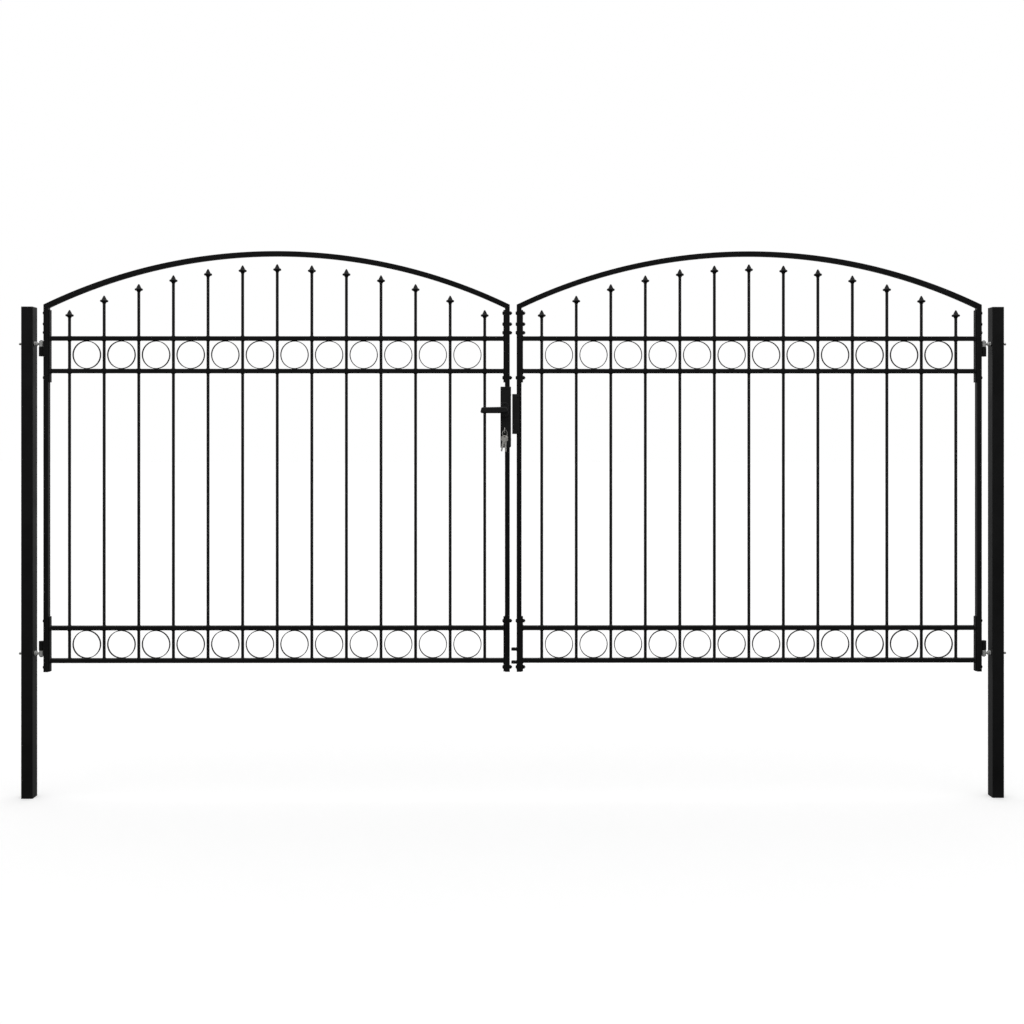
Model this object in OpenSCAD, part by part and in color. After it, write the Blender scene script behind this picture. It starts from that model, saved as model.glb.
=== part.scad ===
// Double-leaf arched steel fence gate with its two posts, eye-bolt hinges and lever lock.
// Millimetres, +Z up, X across the gate, front towards -Y.
// The origin is the middle of the left post's foot.

/* [Posts] */
// Width over the outer faces of the two posts
overall_w = 4000; // [3200:10:4800]
// Height of a post's top above the upper hinge bolt
post_over_hinge = 150.5; // [80:0.5:300]
// Side of the square post tube
post_w = 48; // [40:1:80]
// Wall of the post tube
post_wall = 2; // [1.5:0.1:4]
// Outer corner radius of the post tube
post_corner_r = 3.5; // [2:0.1:6]
// Height of the cap's flat head
cap_h = 4; // [2:0.5:10]
// Depth of the cap's plug inside the tube
cap_plug_h = 18; // [8:1:40]
// Play of the cap's plug in the tube
plug_play = 0.3; // [0.2:0.05:0.5]

/* [Leaf frame] */
// Gap between a post and the hinge stile beside it
hinge_gap = 38; // [34:1:60]
// Gap between the two leaves
centre_gap = 28; // [26:1:40]
// Height of the leaf's lower end above the post's foot
leaf_foot_z = 513; // [300:1:700]
// Height of the arch's ends above the middle of the top rail
shoulder_rise = 138; // [110:1:200]
// Rise of the arch from its ends to its crown
arch_rise = 218; // [150:1:300]
// Width of the frame tube in the plane of the leaf
frame_w = 20; // [16:0.5:24]
// Depth of the frame tube
frame_d = 25; // [22:0.5:30]
// Wall of the frame tube
frame_wall = 1.5; // [1:0.1:3]
// Outer corner radius of the frame tube
frame_corner_r = 2.5; // [1.5:0.1:4]

/* [Rails and bars] */
// Height of the middle of the lowest rail above the leaf's lower end
base_rise = 44; // [30:1:80]
// Clear height between the base rails and the frieze rails
field_h = 1031; // [800:1:1300]
// Clear gap between the two rails of a pair
ring_band = 115; // [90:1:140]
// Height of a rail tube
rail_h = 18; // [15:0.5:22]
// Depth of a rail tube
rail_d = 20; // [18:0.5:22]
// Wall of a rail tube
rail_wall = 1.5; // [1:0.1:3]
// Outer corner radius of a rail tube
rail_corner_r = 2; // [1.5:0.1:4]
// Least clear width between a ring and the bars beside it
ring_side_gap = 7; // [3:0.5:15]
// Diameter of a bar
bar_d = 12; // [10:0.5:14]
// Wall of a bar's tube
bar_wall = 1.2; // [0.8:0.1:3]
// Distance from a stile to the middle of the first bar
bar_margin = 82.5; // [70:0.5:95]
// Radial play of a bar in its rail hole
bar_play = 0.3; // [0.2:0.05:0.5]

/* [Rings and spear tips] */
// Thickness of the ring strip
ring_t = 3; // [2:0.5:6]
// Depth of the ring strip
ring_d = 10; // [6:0.5:16]
// Play between a ring and the rails that hold it
ring_play = 0.15; // [0.1:0.05:0.3]
// Height of a spear tip
tip_h = 34; // [24:1:44]
// Width of a spear tip's collar
tip_w = 33; // [22:1:36]
// Height of a spear tip's collar
tip_collar_h = 9; // [8:0.5:14]
// Height of the taper between a bar and its tip's collar
tip_neck_h = 7; // [3:0.5:10]
// Width of the spear above the collar
tip_spear_w = 21; // [12:0.5:24]
// Gap between the middle spear tip and the arch
tip_gap_mid = 32; // [20:1:50]
// Gap between an end spear tip and the arch
tip_gap_end = 46; // [30:1:70]

/* [End plates] */
// Thickness of an end plate
plate_t = 6; // [3:0.5:8]
// Depth of an end plate
plate_d = 20; // [20:0.5:22]
// Gap between the top of an upper end plate and the mitre over it
upper_plate_gap = 9; // [4:0.5:30]
// Length of an upper end plate below the middle of its lower rail
upper_plate_under = 46; // [20:1:55]
// Length of a lower end plate above the middle of its upper rail
lower_plate_over = 47; // [20:1:90]

/* [Hinges] */
// Diameter of the hinge pin
pin_d = 10; // [8:0.5:11]
// Radial play of the hinge pin in its eye
pin_play = 0.3; // [0.2:0.05:0.5]
// Diameter of the hinge barrel
barrel_d = 20; // [18:0.5:22]
// Gap between the hinge barrel and the stile
barrel_gap = 2; // [1:0.5:4]
// Length of the hinge barrel
barrel_h = 38; // [30:1:50]
// Depth of the web that joins the barrel to the stile
barrel_web_d = 12; // [8:0.5:16]
// Distance from the middle of the top rail down to the upper barrel's top
upper_barrel_drop = 35; // [30:1:80]
// Distance from the middle of the lowest rail up to the lower barrel's foot
lower_barrel_rise = 42; // [30:1:80]
// Wall of the bolt's eye
eye_wall = 3.7; // [2.5:0.1:4.5]
// Height of the bolt's eye
eye_h = 24; // [14:0.5:28]
// Play between the barrel and the eye
eye_play = 0.5; // [0.3:0.1:1]
// Length of the hinge pin past its eye
pin_proud = 3; // [1:0.5:6]
// Diameter of the eye bolt's shank
shank_d = 10; // [8:0.5:12]
// Length of the eye bolt past the post's outer face
shank_proud = 17; // [10:1:30]
// Radial play of the eye bolt in the post and in its nut
shank_play = 0.3; // [0.2:0.05:0.5]
// Width across the flats of the eye bolt's nut
nut_w = 17; // [15:0.5:19]
// Thickness of the eye bolt's nut
nut_t = 8; // [6:0.5:9]
// Diameter of the washer under the nut
washer_d = 20; // [18:0.5:24]
// Thickness of the washer under the nut
washer_t = 1.6; // [1:0.1:3]

/* [Lock case] */
// Width of the lock case
lock_w = 43; // [40:1:60]
// Depth of the lock case past each face of the stile
lock_wall = 4.5; // [3:0.5:10]
// Corner radius of the lock case, as seen from the front
lock_corner_r = 2; // [1:0.5:4]
// Distance from the middle of the frieze's lower rail down to the lock case
lock_drop = 64; // [50:1:120]
// Height of the lock case itself
lock_h = 249; // [230:1:300]
// Reach of the lock case past the stile
lock_proud = 5; // [3:0.1:6]
// Distance from the lock's face to the axis of the lever and the key
backset = 25.5; // [24:0.5:28]
// Length of stile held in each end of the lock case
socket_h = 15; // [8:1:18]
// Play between the stile and its socket
socket_play = 0.2; // [0.1:0.05:0.3]
// Width of the faceplate
faceplate_w = 22; // [20:0.5:26]
// Distance from a stile's socket to the faceplate's end
faceplate_margin = 7; // [2:0.5:15]
// Thickness of the faceplate
faceplate_t = 2.5; // [1.5:0.1:3]
// Height of the latch
latch_h = 32; // [24:1:40]
// Height of the dead bolt
dead_bolt_h = 28; // [20:1:32]
// Thickness of the latch and the dead bolt
bolt_t = 13; // [10:0.5:15]
// Wall between the latch and the spindle's bore
bolt_back = 1.3; // [0.8:0.1:4]
// Play around the latch and the dead bolt
bolt_play = 0.3; // [0.2:0.05:0.5]

/* [Strike box] */
// Height of the strike box's top above the lever's axis
strike_rise = 65; // [50:1:90]
// Height of the strike box itself
strike_h = 163; // [140:1:180]
// Width of the strike box over the stile
strike_lap = 10; // [6:0.5:16]
// Gap between the lock case and the strike box
lock_gap = 5; // [5:0.1:8]
// Depth of the strike box's slots
slot_deep = 14; // [8:0.5:16]
// Play around the bolts in the strike box's slots
slot_play = 3; // [1:0.5:5]

/* [Lever] */
// Length of the lever from its axis to its tip
lever_len = 99; // [90:1:130]
// Reach of the lever's lower corner past its upper one at the tip
lever_tip_lean = 5; // [0:0.5:8]
// Height of the lever at its root
lever_root_h = 24; // [18.5:0.5:28]
// Height of the lever at its tip
lever_tip_h = 22; // [10:0.5:24]
// Thickness of the lever's grip
lever_t = 12; // [8:0.5:16]
// Distance from the lock case to the lever's grip
lever_reach = 34; // [30:1:50]
// Diameter of the lever's neck
neck_d = 17; // [15:0.5:18]
// Side of the square spindle
spindle_w = 8; // [7:0.5:9]
// Length of spindle held in a lever's neck
spindle_grip = 20; // [10:1:25]
// Play between the spindle and the lever's neck
spindle_play = 0.15; // [0.1:0.05:0.3]
// Play around the parts that turn with the lever
turn_play = 0.5; // [0.3:0.05:0.8]
// Width of the rose under a lever
rose_w = 34; // [30:0.5:38]
// Height of the rose under a lever
rose_h = 62; // [50:1:80]
// Thickness of the rose under a lever
rose_t = 8; // [4:0.5:10]

/* [Cylinder and keys] */
// Height of the key's axis above the lock case's foot
key_rise = 71; // [60:1:90]
// Distance from the lever's axis down to the key's axis
key_drop = 83; // [72:1:92]
// Diameter of the lock cylinder's round part
cylinder_d = 17; // [15:0.5:18]
// Width of the lock cylinder's tongue
cylinder_tongue_w = 10; // [8:0.5:12]
// Height of the lock cylinder over its tongue
cylinder_h = 33; // [28:0.5:36]
// Length of the cylinder past each face of the lock case
cylinder_proud = 3; // [1:0.5:5]
// Play around the lock cylinder
cylinder_play = 0.2; // [0.1:0.05:0.3]
// Thickness of a key
key_t = 2.2; // [1.8:0.1:3]
// Width of a key's blade
blade_w = 8; // [6:0.5:9]
// Length of a key's blade
blade_len = 40; // [28:1:44]
// Length of the taper at the end of a key's blade
blade_point = 4; // [2:0.5:6]
// Length of blade inside the cylinder
blade_in = 28; // [15:1:30]
// Play around the blade in its keyway
blade_play = 0.2; // [0.1:0.05:0.3]
// Distance between the cuts along a key's blade
tooth_pitch = 4.5; // [3:0.5:6]
// Depth of the cuts along a key's blade
tooth_deep = 1.8; // [1:0.1:2.5]
// Diameter of a key's bow
bow_d = 26; // [20:0.5:28]
// Width of a key's bow between its flat sides
bow_w = 22; // [18:0.5:23]
// Diameter of the hole in a key's bow
bow_hole_d = 6.5; // [5:0.5:7]
// Width of the bow's rim beside its hole
bow_rim = 2.5; // [2:0.5:4]
// Diameter of the key ring, to the middle of its wire
key_ring_d = 26; // [22:0.5:30]
// Diameter of the key ring's wire
key_wire_d = 1.8; // [1.5:0.1:2]
// Turn of the key ring away from the gate's plane
key_ring_turn = 45; // [30:1:55]
// Half of the angle along the ring between the two spare keys
key_fan = 9; // [8:1:20]
// Distance from the ring's wire down to the middle of a spare key's hole
key_slack = 0.6; // [0.2:0.1:0.8]
// Lean of the front spare key's blade away from the lock's face
front_key_lean = 11; // [0:1:20]
// Lean of the back spare key's blade towards the lock's face
back_key_lean = 3; // [0:1:20]

/* [Drop bolt guides] */
// Distance from the middle of the lowest rail up to the upper guide's middle
upper_guide_rise = 46; // [20:1:80]
// Distance from the middle of the lowest rail down to the lower guide's middle
lower_guide_drop = 7; // [0:1:30]
// Height of a guide
guide_h = 11; // [8:0.5:16]
// Outer diameter of a guide's eye
guide_d = 20; // [18:0.5:24]
// Bore of a guide
guide_bore_d = 13; // [10:0.5:14]
// Gap between a guide and the other leaf's stile
guide_clear = 6; // [5:0.5:8]
// Depth of the web that joins a guide to the stile
guide_web_d = 14; // [10:0.5:16]

/* [Hidden] */
$fn = 64;
// Overrun of a cut past the faces that it opens
cut = 1;
// The gate's middle, from the left post's axis
gate_mid = (overall_w - post_w) / 2;
leaf_w = (overall_w - centre_gap) / 2 - post_w - hinge_gap;
// Places below are for the left leaf, measured from the gate's middle
meet_x = -centre_gap / 2;
hinge_x = meet_x - leaf_w;
leaf_mid_x = meet_x - leaf_w / 2;
post_face_x = hinge_x - hinge_gap;
meet_inner_x = meet_x - frame_w;
hinge_inner_x = hinge_x + frame_w;
rail_end_x = meet_inner_x - plate_t;
rail_start_x = hinge_inner_x + plate_t;
pin_offset = barrel_d / 2 + barrel_gap;
pin_x = hinge_x - pin_offset;
// Heights of the middles of the lower rail of each pair, of the top rail and of the arch
rail_pitch = ring_band + rail_h;
base_z = leaf_foot_z + base_rise;
frieze_z = base_z + rail_pitch + field_h + rail_h;
top_rail_z = frieze_z + rail_pitch;
shoulder_z = top_rail_z + shoulder_rise;
crown_z = shoulder_z + arch_rise;
// Arch radii to the outer and inner faces, and the height of their centre
arch_r = (pow(leaf_w / 2, 2) + pow(arch_rise, 2)) / (2 * arch_rise);
arch_inner_r = arch_r - frame_w;
arch_centre_z = crown_z - arch_r;
mitre_z = arch_under(leaf_w / 2 - frame_w);
// Bars
bar_span = leaf_w - 2 * frame_w - 2 * bar_margin;
bar_gaps = floor(bar_span / (ring_band + bar_d + 2 * ring_side_gap));
bar_pitch = bar_span / bar_gaps;
bar_foot_z = base_z + rail_h / 2;
ring_r = ring_band / 2 - ring_play;
// End plates
upper_plate_foot_z = frieze_z - upper_plate_under;
upper_plate_top_z = mitre_z - upper_plate_gap;
lower_plate_top_z = base_z + rail_pitch + lower_plate_over;
// Hinges
upper_barrel_z = top_rail_z - upper_barrel_drop;
lower_barrel_z = base_z + lower_barrel_rise;
eye_d = pin_d + 2 * pin_play + 2 * eye_wall;
eye_centre_rise = eye_play + eye_h / 2;
eye_wall_middle = (eye_d - eye_wall) / 2;
eye_heights = [upper_barrel_z + eye_centre_rise, lower_barrel_z - eye_centre_rise];
post_h = eye_heights[0] + post_over_hinge;
// Lock
lock_face_x = meet_x + lock_proud;
lock_x = lock_face_x - lock_w / 2;
lock_axis_x = lock_face_x - backset;
lock_d = frame_d + 2 * lock_wall;
lock_top_z = frieze_z - lock_drop;
lock_foot_z = lock_top_z - lock_h;
key_z = lock_foot_z + key_rise;
lever_z = key_z + key_drop;
faceplate_h = lock_h - 2 * (socket_h + faceplate_margin);
dead_bolt_z = (lever_z + key_z) / 2;
strike_face_x = -lock_face_x - lock_gap;
strike_foot_z = lever_z + strike_rise - strike_h;
cylinder_len = lock_d + 2 * cylinder_proud;
spindle_bore_d = spindle_w * sqrt(2) + 2 * turn_play;
spindle_len = lock_d + 2 * spindle_grip;
bolt_len = backset - spindle_bore_d / 2 - bolt_back;
bow_hole_shift = bow_d / 2 - bow_rim - bow_hole_d / 2;
key_tip_y = -bow_hole_shift - bow_d / 2 - blade_len;
// Share of a blade's width that is left at its end
blade_end_share = 0.5;
// Share of the pitch of a key's cuts that a cut takes up
tooth_share = 0.8;
tooth_count = floor(blade_in / tooth_pitch);
tooth_half = tooth_pitch * tooth_share / 2;
key_bow_y = -lock_d / 2 - cylinder_proud - (blade_len - blade_in) - bow_d / 2;
key_hole_y = key_bow_y - bow_hole_shift;
// Drop bolt guides
guide_reach = centre_gap - guide_clear;
upper_guide_z = base_z + upper_guide_rise;
lower_guide_z = base_z - lower_guide_drop;
// Shares of the spear tip's half width that shape its outline
tip_waist_share = 0.62;
tip_shoulder_share = 0.16;

// Heights of the arch's lower face and of a spear tip, at a distance from the leaf's middle
function arch_under(u) = arch_centre_z + sqrt(pow(arch_inner_r, 2) - pow(u, 2));
function tip_gap(u) = tip_gap_mid + (tip_gap_end - tip_gap_mid) * pow(2 * u / bar_span, 2);
function tip_z(u) = arch_under(u) - tip_gap(u);
function bar_u(i) = i * bar_pitch - bar_span / 2;

module on_left() {
    translate([gate_mid, 0, 0])
        children();
}

module on_right() {
    translate([gate_mid, 0, 0])
        mirror([1, 0, 0])
            children();
}

// Moves a shape drawn in X and Z, and extruded upwards, to stand in the gate's plane
module stand(depth) {
    translate([0, depth / 2, 0])
        rotate([90, 0, 0])
            linear_extrude(depth)
                children();
}

// A straight rod from y = start towards the back
module rod_y(d, start, length) {
    translate([0, start, 0])
        rotate([-90, 0, 0])
            cylinder(d = d, h = length);
}

module rounded_rect(w, d, r) {
    square([w - 2 * r, d], center = true);
    square([w, d - 2 * r], center = true);
    for (sx = [-1, 1], sy = [-1, 1])
        translate([sx * (w / 2 - r), sy * (d / 2 - r)])
            circle(r);
}

module tube_section(w, d, r, wall) {
    difference() {
        rounded_rect(w, d, r);
        rounded_rect(w - 2 * wall, d - 2 * wall, r - wall / 2);
    }
}

// Posts

module post() {
    color([0.07, 0.07, 0.07])
        difference() {
            translate([post_face_x - post_w / 2, 0, 0])
                linear_extrude(post_h - cap_h)
                    tube_section(post_w, post_w, post_corner_r, post_wall);
            for (z = eye_heights)
                translate([post_face_x - post_w - cut, 0, z])
                    rotate([0, 90, 0])
                        cylinder(d = shank_d + 2 * shank_play, h = post_w + 2 * cut);
        }
}

module post_cap() {
    plug_w = post_w - 2 * post_wall - 2 * plug_play;
    color([0.05, 0.05, 0.05])
        translate([post_face_x - post_w / 2, 0, post_h - cap_h]) {
            linear_extrude(cap_h)
                rounded_rect(post_w, post_w, post_corner_r);
            translate([0, 0, -cap_plug_h])
                linear_extrude(cap_plug_h)
                    tube_section(plug_w, plug_w, post_corner_r - post_wall / 2, post_wall);
        }
}

// Hinges: the eye bolts stand in the posts, and the leaf's pins turn in their eyes

module eye_bolt() {
    difference() {
        union() {
            translate([0, 0, -eye_h / 2])
                cylinder(d = eye_d, h = eye_h);
            translate([-eye_wall_middle, 0, 0])
                rotate([0, -90, 0])
                    cylinder(d = shank_d,
                        h = hinge_gap - pin_offset + post_w + shank_proud - eye_wall_middle);
        }
        translate([0, 0, -eye_h / 2 - cut])
            cylinder(d = pin_d + 2 * pin_play, h = eye_h + 2 * cut);
    }
}

module eye_bolts() {
    color([0.66, 0.66, 0.64])
        for (z = eye_heights)
            translate([pin_x, 0, z])
                eye_bolt();
}

module hinge_nuts() {
    color([0.72, 0.72, 0.7])
        for (z = eye_heights)
            translate([post_face_x, 0, z])
                rotate([0, 90, 0])
                    difference() {
                        union() {
                            cylinder(d = washer_d, h = washer_t);
                            translate([0, 0, washer_t])
                                cylinder(d = nut_w / cos(30), h = nut_t, $fn = 6);
                        }
                        translate([0, 0, -cut])
                            cylinder(d = shank_d + 2 * shank_play, h = washer_t + nut_t + 2 * cut);
                    }
}

module hinge_barrel() {
    cylinder(d = barrel_d, h = barrel_h);
    translate([0, -barrel_web_d / 2, 0])
        cube([pin_offset, barrel_web_d, barrel_h]);
    translate([0, 0, barrel_h / 2])
        cylinder(d = pin_d, h = barrel_h / 2 + eye_play + eye_h + pin_proud);
}

module hinge_barrels() {
    color([0.07, 0.07, 0.07]) {
        translate([pin_x, 0, upper_barrel_z - barrel_h])
            hinge_barrel();
        translate([pin_x, 0, lower_barrel_z + barrel_h])
            mirror([0, 0, 1])
                hinge_barrel();
    }
}

// Leaf frame: two stiles mitred to an arch

module stile_tube(x) {
    translate([x, 0, leaf_foot_z])
        linear_extrude(crown_z - leaf_foot_z)
            tube_section(frame_w, frame_d, frame_corner_r, frame_wall);
}

module hinge_stile() {
    color([0.07, 0.07, 0.07])
        intersection() {
            stile_tube(hinge_x + frame_w / 2);
            stand(frame_d + 2 * cut)
                polygon([
                    [hinge_x, leaf_foot_z],
                    [hinge_inner_x, leaf_foot_z],
                    [hinge_inner_x, mitre_z],
                    [hinge_x, shoulder_z]
                ]);
        }
}

module meeting_stile() {
    color([0.07, 0.07, 0.07])
        intersection() {
            stile_tube(meet_x - frame_w / 2);
            stand(frame_d + 2 * cut)
                polygon([
                    [meet_x, leaf_foot_z],
                    [meet_inner_x, leaf_foot_z],
                    [meet_inner_x, mitre_z],
                    [meet_x, shoulder_z]
                ]);
        }
}

// The lock's stile is in two lengths, which end inside the lock case
module lock_stile() {
    color([0.07, 0.07, 0.07])
        difference() {
            meeting_stile();
            translate([meet_inner_x - cut, -frame_d / 2 - cut, lock_foot_z + socket_h])
                cube([frame_w + 2 * cut, frame_d + 2 * cut, lock_h - 2 * socket_h]);
        }
}

// A ring of the frame tube's section about the arch's centre
module arch_ring(w, d, r) {
    sweep = 2 * asin(leaf_w / 2 / arch_inner_r);
    translate([leaf_mid_x, 0, arch_centre_z])
        rotate([90, 0, 0])
            rotate([0, 0, 90 - sweep / 2])
                rotate_extrude(angle = sweep, $fn = 180)
                    translate([arch_r - frame_w / 2, 0])
                        rounded_rect(w, d, r);
}

module arch() {
    color([0.07, 0.07, 0.07])
        intersection() {
            difference() {
                arch_ring(frame_w, frame_d, frame_corner_r);
                arch_ring(frame_w - 2 * frame_wall, frame_d - 2 * frame_wall,
                    frame_corner_r - frame_wall / 2);
            }
            stand(frame_d + 2 * cut)
                polygon([
                    [hinge_x, shoulder_z],
                    [hinge_x, crown_z + cut],
                    [meet_x, crown_z + cut],
                    [meet_x, shoulder_z],
                    [meet_inner_x, mitre_z],
                    [hinge_inner_x, mitre_z]
                ]);
        }
}

// Infill: rails in pairs with rings between them, and bars through the upper three rails

module rail(z) {
    translate([rail_start_x, 0, z])
        rotate([90, 0, 90])
            linear_extrude(rail_end_x - rail_start_x)
                tube_section(rail_d, rail_h, rail_corner_r, rail_wall);
}

module bar_holes(z) {
    for (i = [0 : bar_gaps])
        translate([leaf_mid_x + bar_u(i), 0, z - rail_h / 2 - cut])
            cylinder(d = bar_d + 2 * bar_play, h = rail_h + 2 * cut);
}

module drilled_rail(z) {
    difference() {
        rail(z);
        bar_holes(z);
    }
}

module frieze_rails() {
    color([0.07, 0.07, 0.07]) {
        drilled_rail(frieze_z);
        drilled_rail(frieze_z + rail_pitch);
    }
}

module base_rails() {
    color([0.07, 0.07, 0.07]) {
        rail(base_z);
        drilled_rail(base_z + rail_pitch);
    }
}

module bars() {
    color([0.07, 0.07, 0.07])
        for (i = [0 : bar_gaps])
            translate([leaf_mid_x + bar_u(i), 0, bar_foot_z])
                linear_extrude(tip_z(bar_u(i)) - tip_h - bar_foot_z)
                    difference() {
                        circle(d = bar_d);
                        circle(d = bar_d - 2 * bar_wall);
                    }
}

module spear_tip() {
    rim = tip_collar_h / 2;
    rim_x = tip_w / 2 - rim;
    waist = tip_spear_w / 2;
    collar_top = tip_neck_h + tip_collar_h;
    rotate_extrude()
        difference() {
            union() {
                polygon([
                    [0, 0],
                    [bar_d / 2, 0],
                    [waist, tip_neck_h],
                    [rim_x, tip_neck_h],
                    [rim_x, collar_top],
                    [waist, collar_top],
                    [waist * tip_waist_share, (collar_top + tip_h) / 2],
                    [waist * tip_shoulder_share, tip_h],
                    [0, tip_h]
                ]);
                translate([rim_x, tip_neck_h + rim])
                    circle(rim);
            }
            translate([-tip_w, 0])
                square([tip_w, tip_h]);
        }
}

module spear_tips() {
    color([0.07, 0.07, 0.07])
        for (i = [0 : bar_gaps])
            translate([leaf_mid_x + bar_u(i), 0, tip_z(bar_u(i)) - tip_h])
                spear_tip();
}

module rings(z) {
    color([0.07, 0.07, 0.07])
        for (i = [0 : bar_gaps - 1])
            translate([leaf_mid_x + bar_u(i) + bar_pitch / 2, 0, z + rail_pitch / 2])
                stand(ring_d)
                    difference() {
                        circle(ring_r, $fn = 96);
                        circle(ring_r - ring_t, $fn = 96);
                    }
}

// Flat plates on the stiles, to which the rails are fixed
module end_plates(foot_z, top_z) {
    color([0.07, 0.07, 0.07])
        for (x = [hinge_inner_x, rail_end_x])
            translate([x, -plate_d / 2, foot_z])
                cube([plate_t, plate_d, top_z - foot_z]);
}

// Lock

module cylinder_section(play) {
    circle(d = cylinder_d + 2 * play);
    translate([-cylinder_tongue_w / 2 - play, cylinder_d / 2 - cylinder_h - play])
        square([cylinder_tongue_w + 2 * play, cylinder_h - cylinder_d / 2 + play]);
}

// Room for the latch or the dead bolt, from the face inwards
module bolt_block(z, height, play) {
    translate([lock_face_x - bolt_len - play, -bolt_t / 2 - play, z - height / 2 - play])
        cube([bolt_len + play, bolt_t + 2 * play, height + 2 * play]);
}

module bolt_ways(play, overrun) {
    for (x = [0, overrun]) {
        translate([x, 0, 0])
            bolt_block(lever_z, latch_h, play);
        translate([x, 0, 0])
            bolt_block(dead_bolt_z, dead_bolt_h, play);
    }
}

module faceplate_block(overrun) {
    translate([
        lock_face_x - faceplate_t,
        -faceplate_w / 2,
        lock_foot_z + (lock_h - faceplate_h) / 2
    ])
        cube([faceplate_t + overrun, faceplate_w, faceplate_h]);
}

module stile_sockets() {
    side = frame_w + 2 * socket_play;
    depth = frame_d + 2 * socket_play;
    for (z = [lock_foot_z - cut, lock_top_z - socket_h - socket_play])
        translate([meet_inner_x - socket_play, -depth / 2, z])
            cube([side, depth, socket_h + socket_play + cut]);
}

// The slanted cut at the foot of the lock's face, up to the stile
module face_corner_cut() {
    side = lock_proud * sqrt(2);
    translate([lock_face_x, 0, lock_foot_z])
        rotate([0, 45, 0])
            cube([side, lock_d + 2 * cut, side], center = true);
}

module lock_case() {
    color([0.09, 0.09, 0.09])
        difference() {
            translate([lock_x, 0, lock_foot_z + lock_h / 2])
                stand(lock_d)
                    rounded_rect(lock_w, lock_h, lock_corner_r);
            stile_sockets();
            faceplate_block(cut);
            bolt_ways(bolt_play, cut);
            face_corner_cut();
            translate([lock_axis_x, 0, lever_z])
                rod_y(spindle_bore_d, -lock_d / 2 - cut, lock_d + 2 * cut);
            translate([lock_axis_x, 0, key_z])
                stand(lock_d + 2 * cut)
                    cylinder_section(cylinder_play);
        }
}

module lock_faceplate() {
    color([0.6, 0.6, 0.6])
        difference() {
            faceplate_block(0);
            bolt_ways(bolt_play, cut);
        }
}

// The latch and the dead bolt, both drawn back level with the faceplate
module lock_bolts() {
    color([0.7, 0.7, 0.7]) {
        bolt_block(lever_z, latch_h, 0);
        bolt_block(dead_bolt_z, dead_bolt_h, 0);
    }
}

module lock_cylinder() {
    color([0.09, 0.09, 0.09])
        translate([lock_axis_x, 0, key_z])
            difference() {
                stand(cylinder_len)
                    cylinder_section(0);
                translate([
                    -key_t / 2 - blade_play,
                    -cylinder_len / 2 - cut,
                    -blade_w / 2 - blade_play
                ])
                    cube([
                        key_t + 2 * blade_play,
                        blade_in + blade_play + cut,
                        blade_w + 2 * blade_play
                    ]);
            }
}

// A round-ended plate with a hole for the lever's neck
module rose() {
    stand(rose_t)
        difference() {
            union() {
                square([rose_w, rose_h - rose_w], center = true);
                for (s = [-1, 1])
                    translate([0, s * (rose_h - rose_w) / 2])
                        circle(d = rose_w);
            }
            circle(d = neck_d + 2 * turn_play);
        }
}

module lever_roses() {
    color([0.1, 0.1, 0.1])
        for (s = [-1, 1])
            translate([lock_axis_x, s * (lock_d + rose_t) / 2, lever_z])
                rose();
}

// A lever on the front, drawn about its own axis
module lever() {
    grip_y = -lock_d / 2 - lever_reach;
    difference() {
        union() {
            rod_y(neck_d, grip_y, lever_reach - turn_play);
            translate([0, grip_y - lever_t / 2, 0])
                stand(lever_t) {
                    circle(d = lever_root_h);
                    polygon([
                        [0, -lever_root_h / 2],
                        [0, lever_root_h / 2],
                        [-lever_len + lever_tip_lean, lever_tip_h - lever_root_h / 2],
                        [-lever_len, -lever_root_h / 2]
                    ]);
                }
        }
        translate([0, -lock_d / 2 - spindle_grip / 2, 0])
            cube([
                spindle_w + 2 * spindle_play,
                spindle_grip + 2 * spindle_play,
                spindle_w + 2 * spindle_play
            ], center = true);
    }
}

module front_lever() {
    color([0.08, 0.08, 0.08])
        translate([lock_axis_x, 0, lever_z])
            lever();
}

module back_lever() {
    color([0.08, 0.08, 0.08])
        translate([lock_axis_x, 0, lever_z])
            mirror([0, 1, 0])
                lever();
}

module lever_spindle() {
    color([0.55, 0.55, 0.55])
        translate([lock_axis_x, 0, lever_z])
            cube([spindle_w, spindle_len, spindle_w], center = true);
}

// A flat key whose hole is at the origin and whose blade points along -Y
module key_outline() {
    difference() {
        union() {
            translate([0, -bow_hole_shift])
                intersection() {
                    circle(d = bow_d);
                    square([bow_w, bow_d], center = true);
                }
            polygon([
                [-blade_w / 2, -bow_hole_shift],
                [-blade_w / 2, key_tip_y + blade_point],
                [-blade_end_share * blade_w / 2, key_tip_y],
                [blade_end_share * blade_w / 2, key_tip_y],
                [blade_w / 2, key_tip_y + blade_point],
                [blade_w / 2, -bow_hole_shift]
            ]);
        }
        circle(d = bow_hole_d);
        for (i = [1 : tooth_count])
            translate([blade_w / 2, key_tip_y + i * tooth_pitch])
                polygon([
                    [cut, -tooth_half],
                    [cut, tooth_half],
                    [0, tooth_half],
                    [-tooth_deep, 0],
                    [0, -tooth_half]
                ]);
    }
}

module key() {
    color([0.75, 0.75, 0.72])
        translate([lock_axis_x - key_t / 2, key_hole_y, key_z])
            rotate([0, 90, 0])
                linear_extrude(key_t)
                    mirror([0, 1])
                        key_outline();
}

// The ring's own frame: its middle at the origin, standing in X and Z
module at_key_ring() {
    translate([lock_axis_x, key_hole_y, key_z - key_ring_d / 2])
        rotate([0, 0, key_ring_turn])
            children();
}

module key_ring() {
    color([0.75, 0.75, 0.75])
        at_key_ring()
            rotate([90, 0, 0])
                rotate_extrude()
                    translate([key_ring_d / 2, 0])
                        circle(d = key_wire_d);
}

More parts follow.
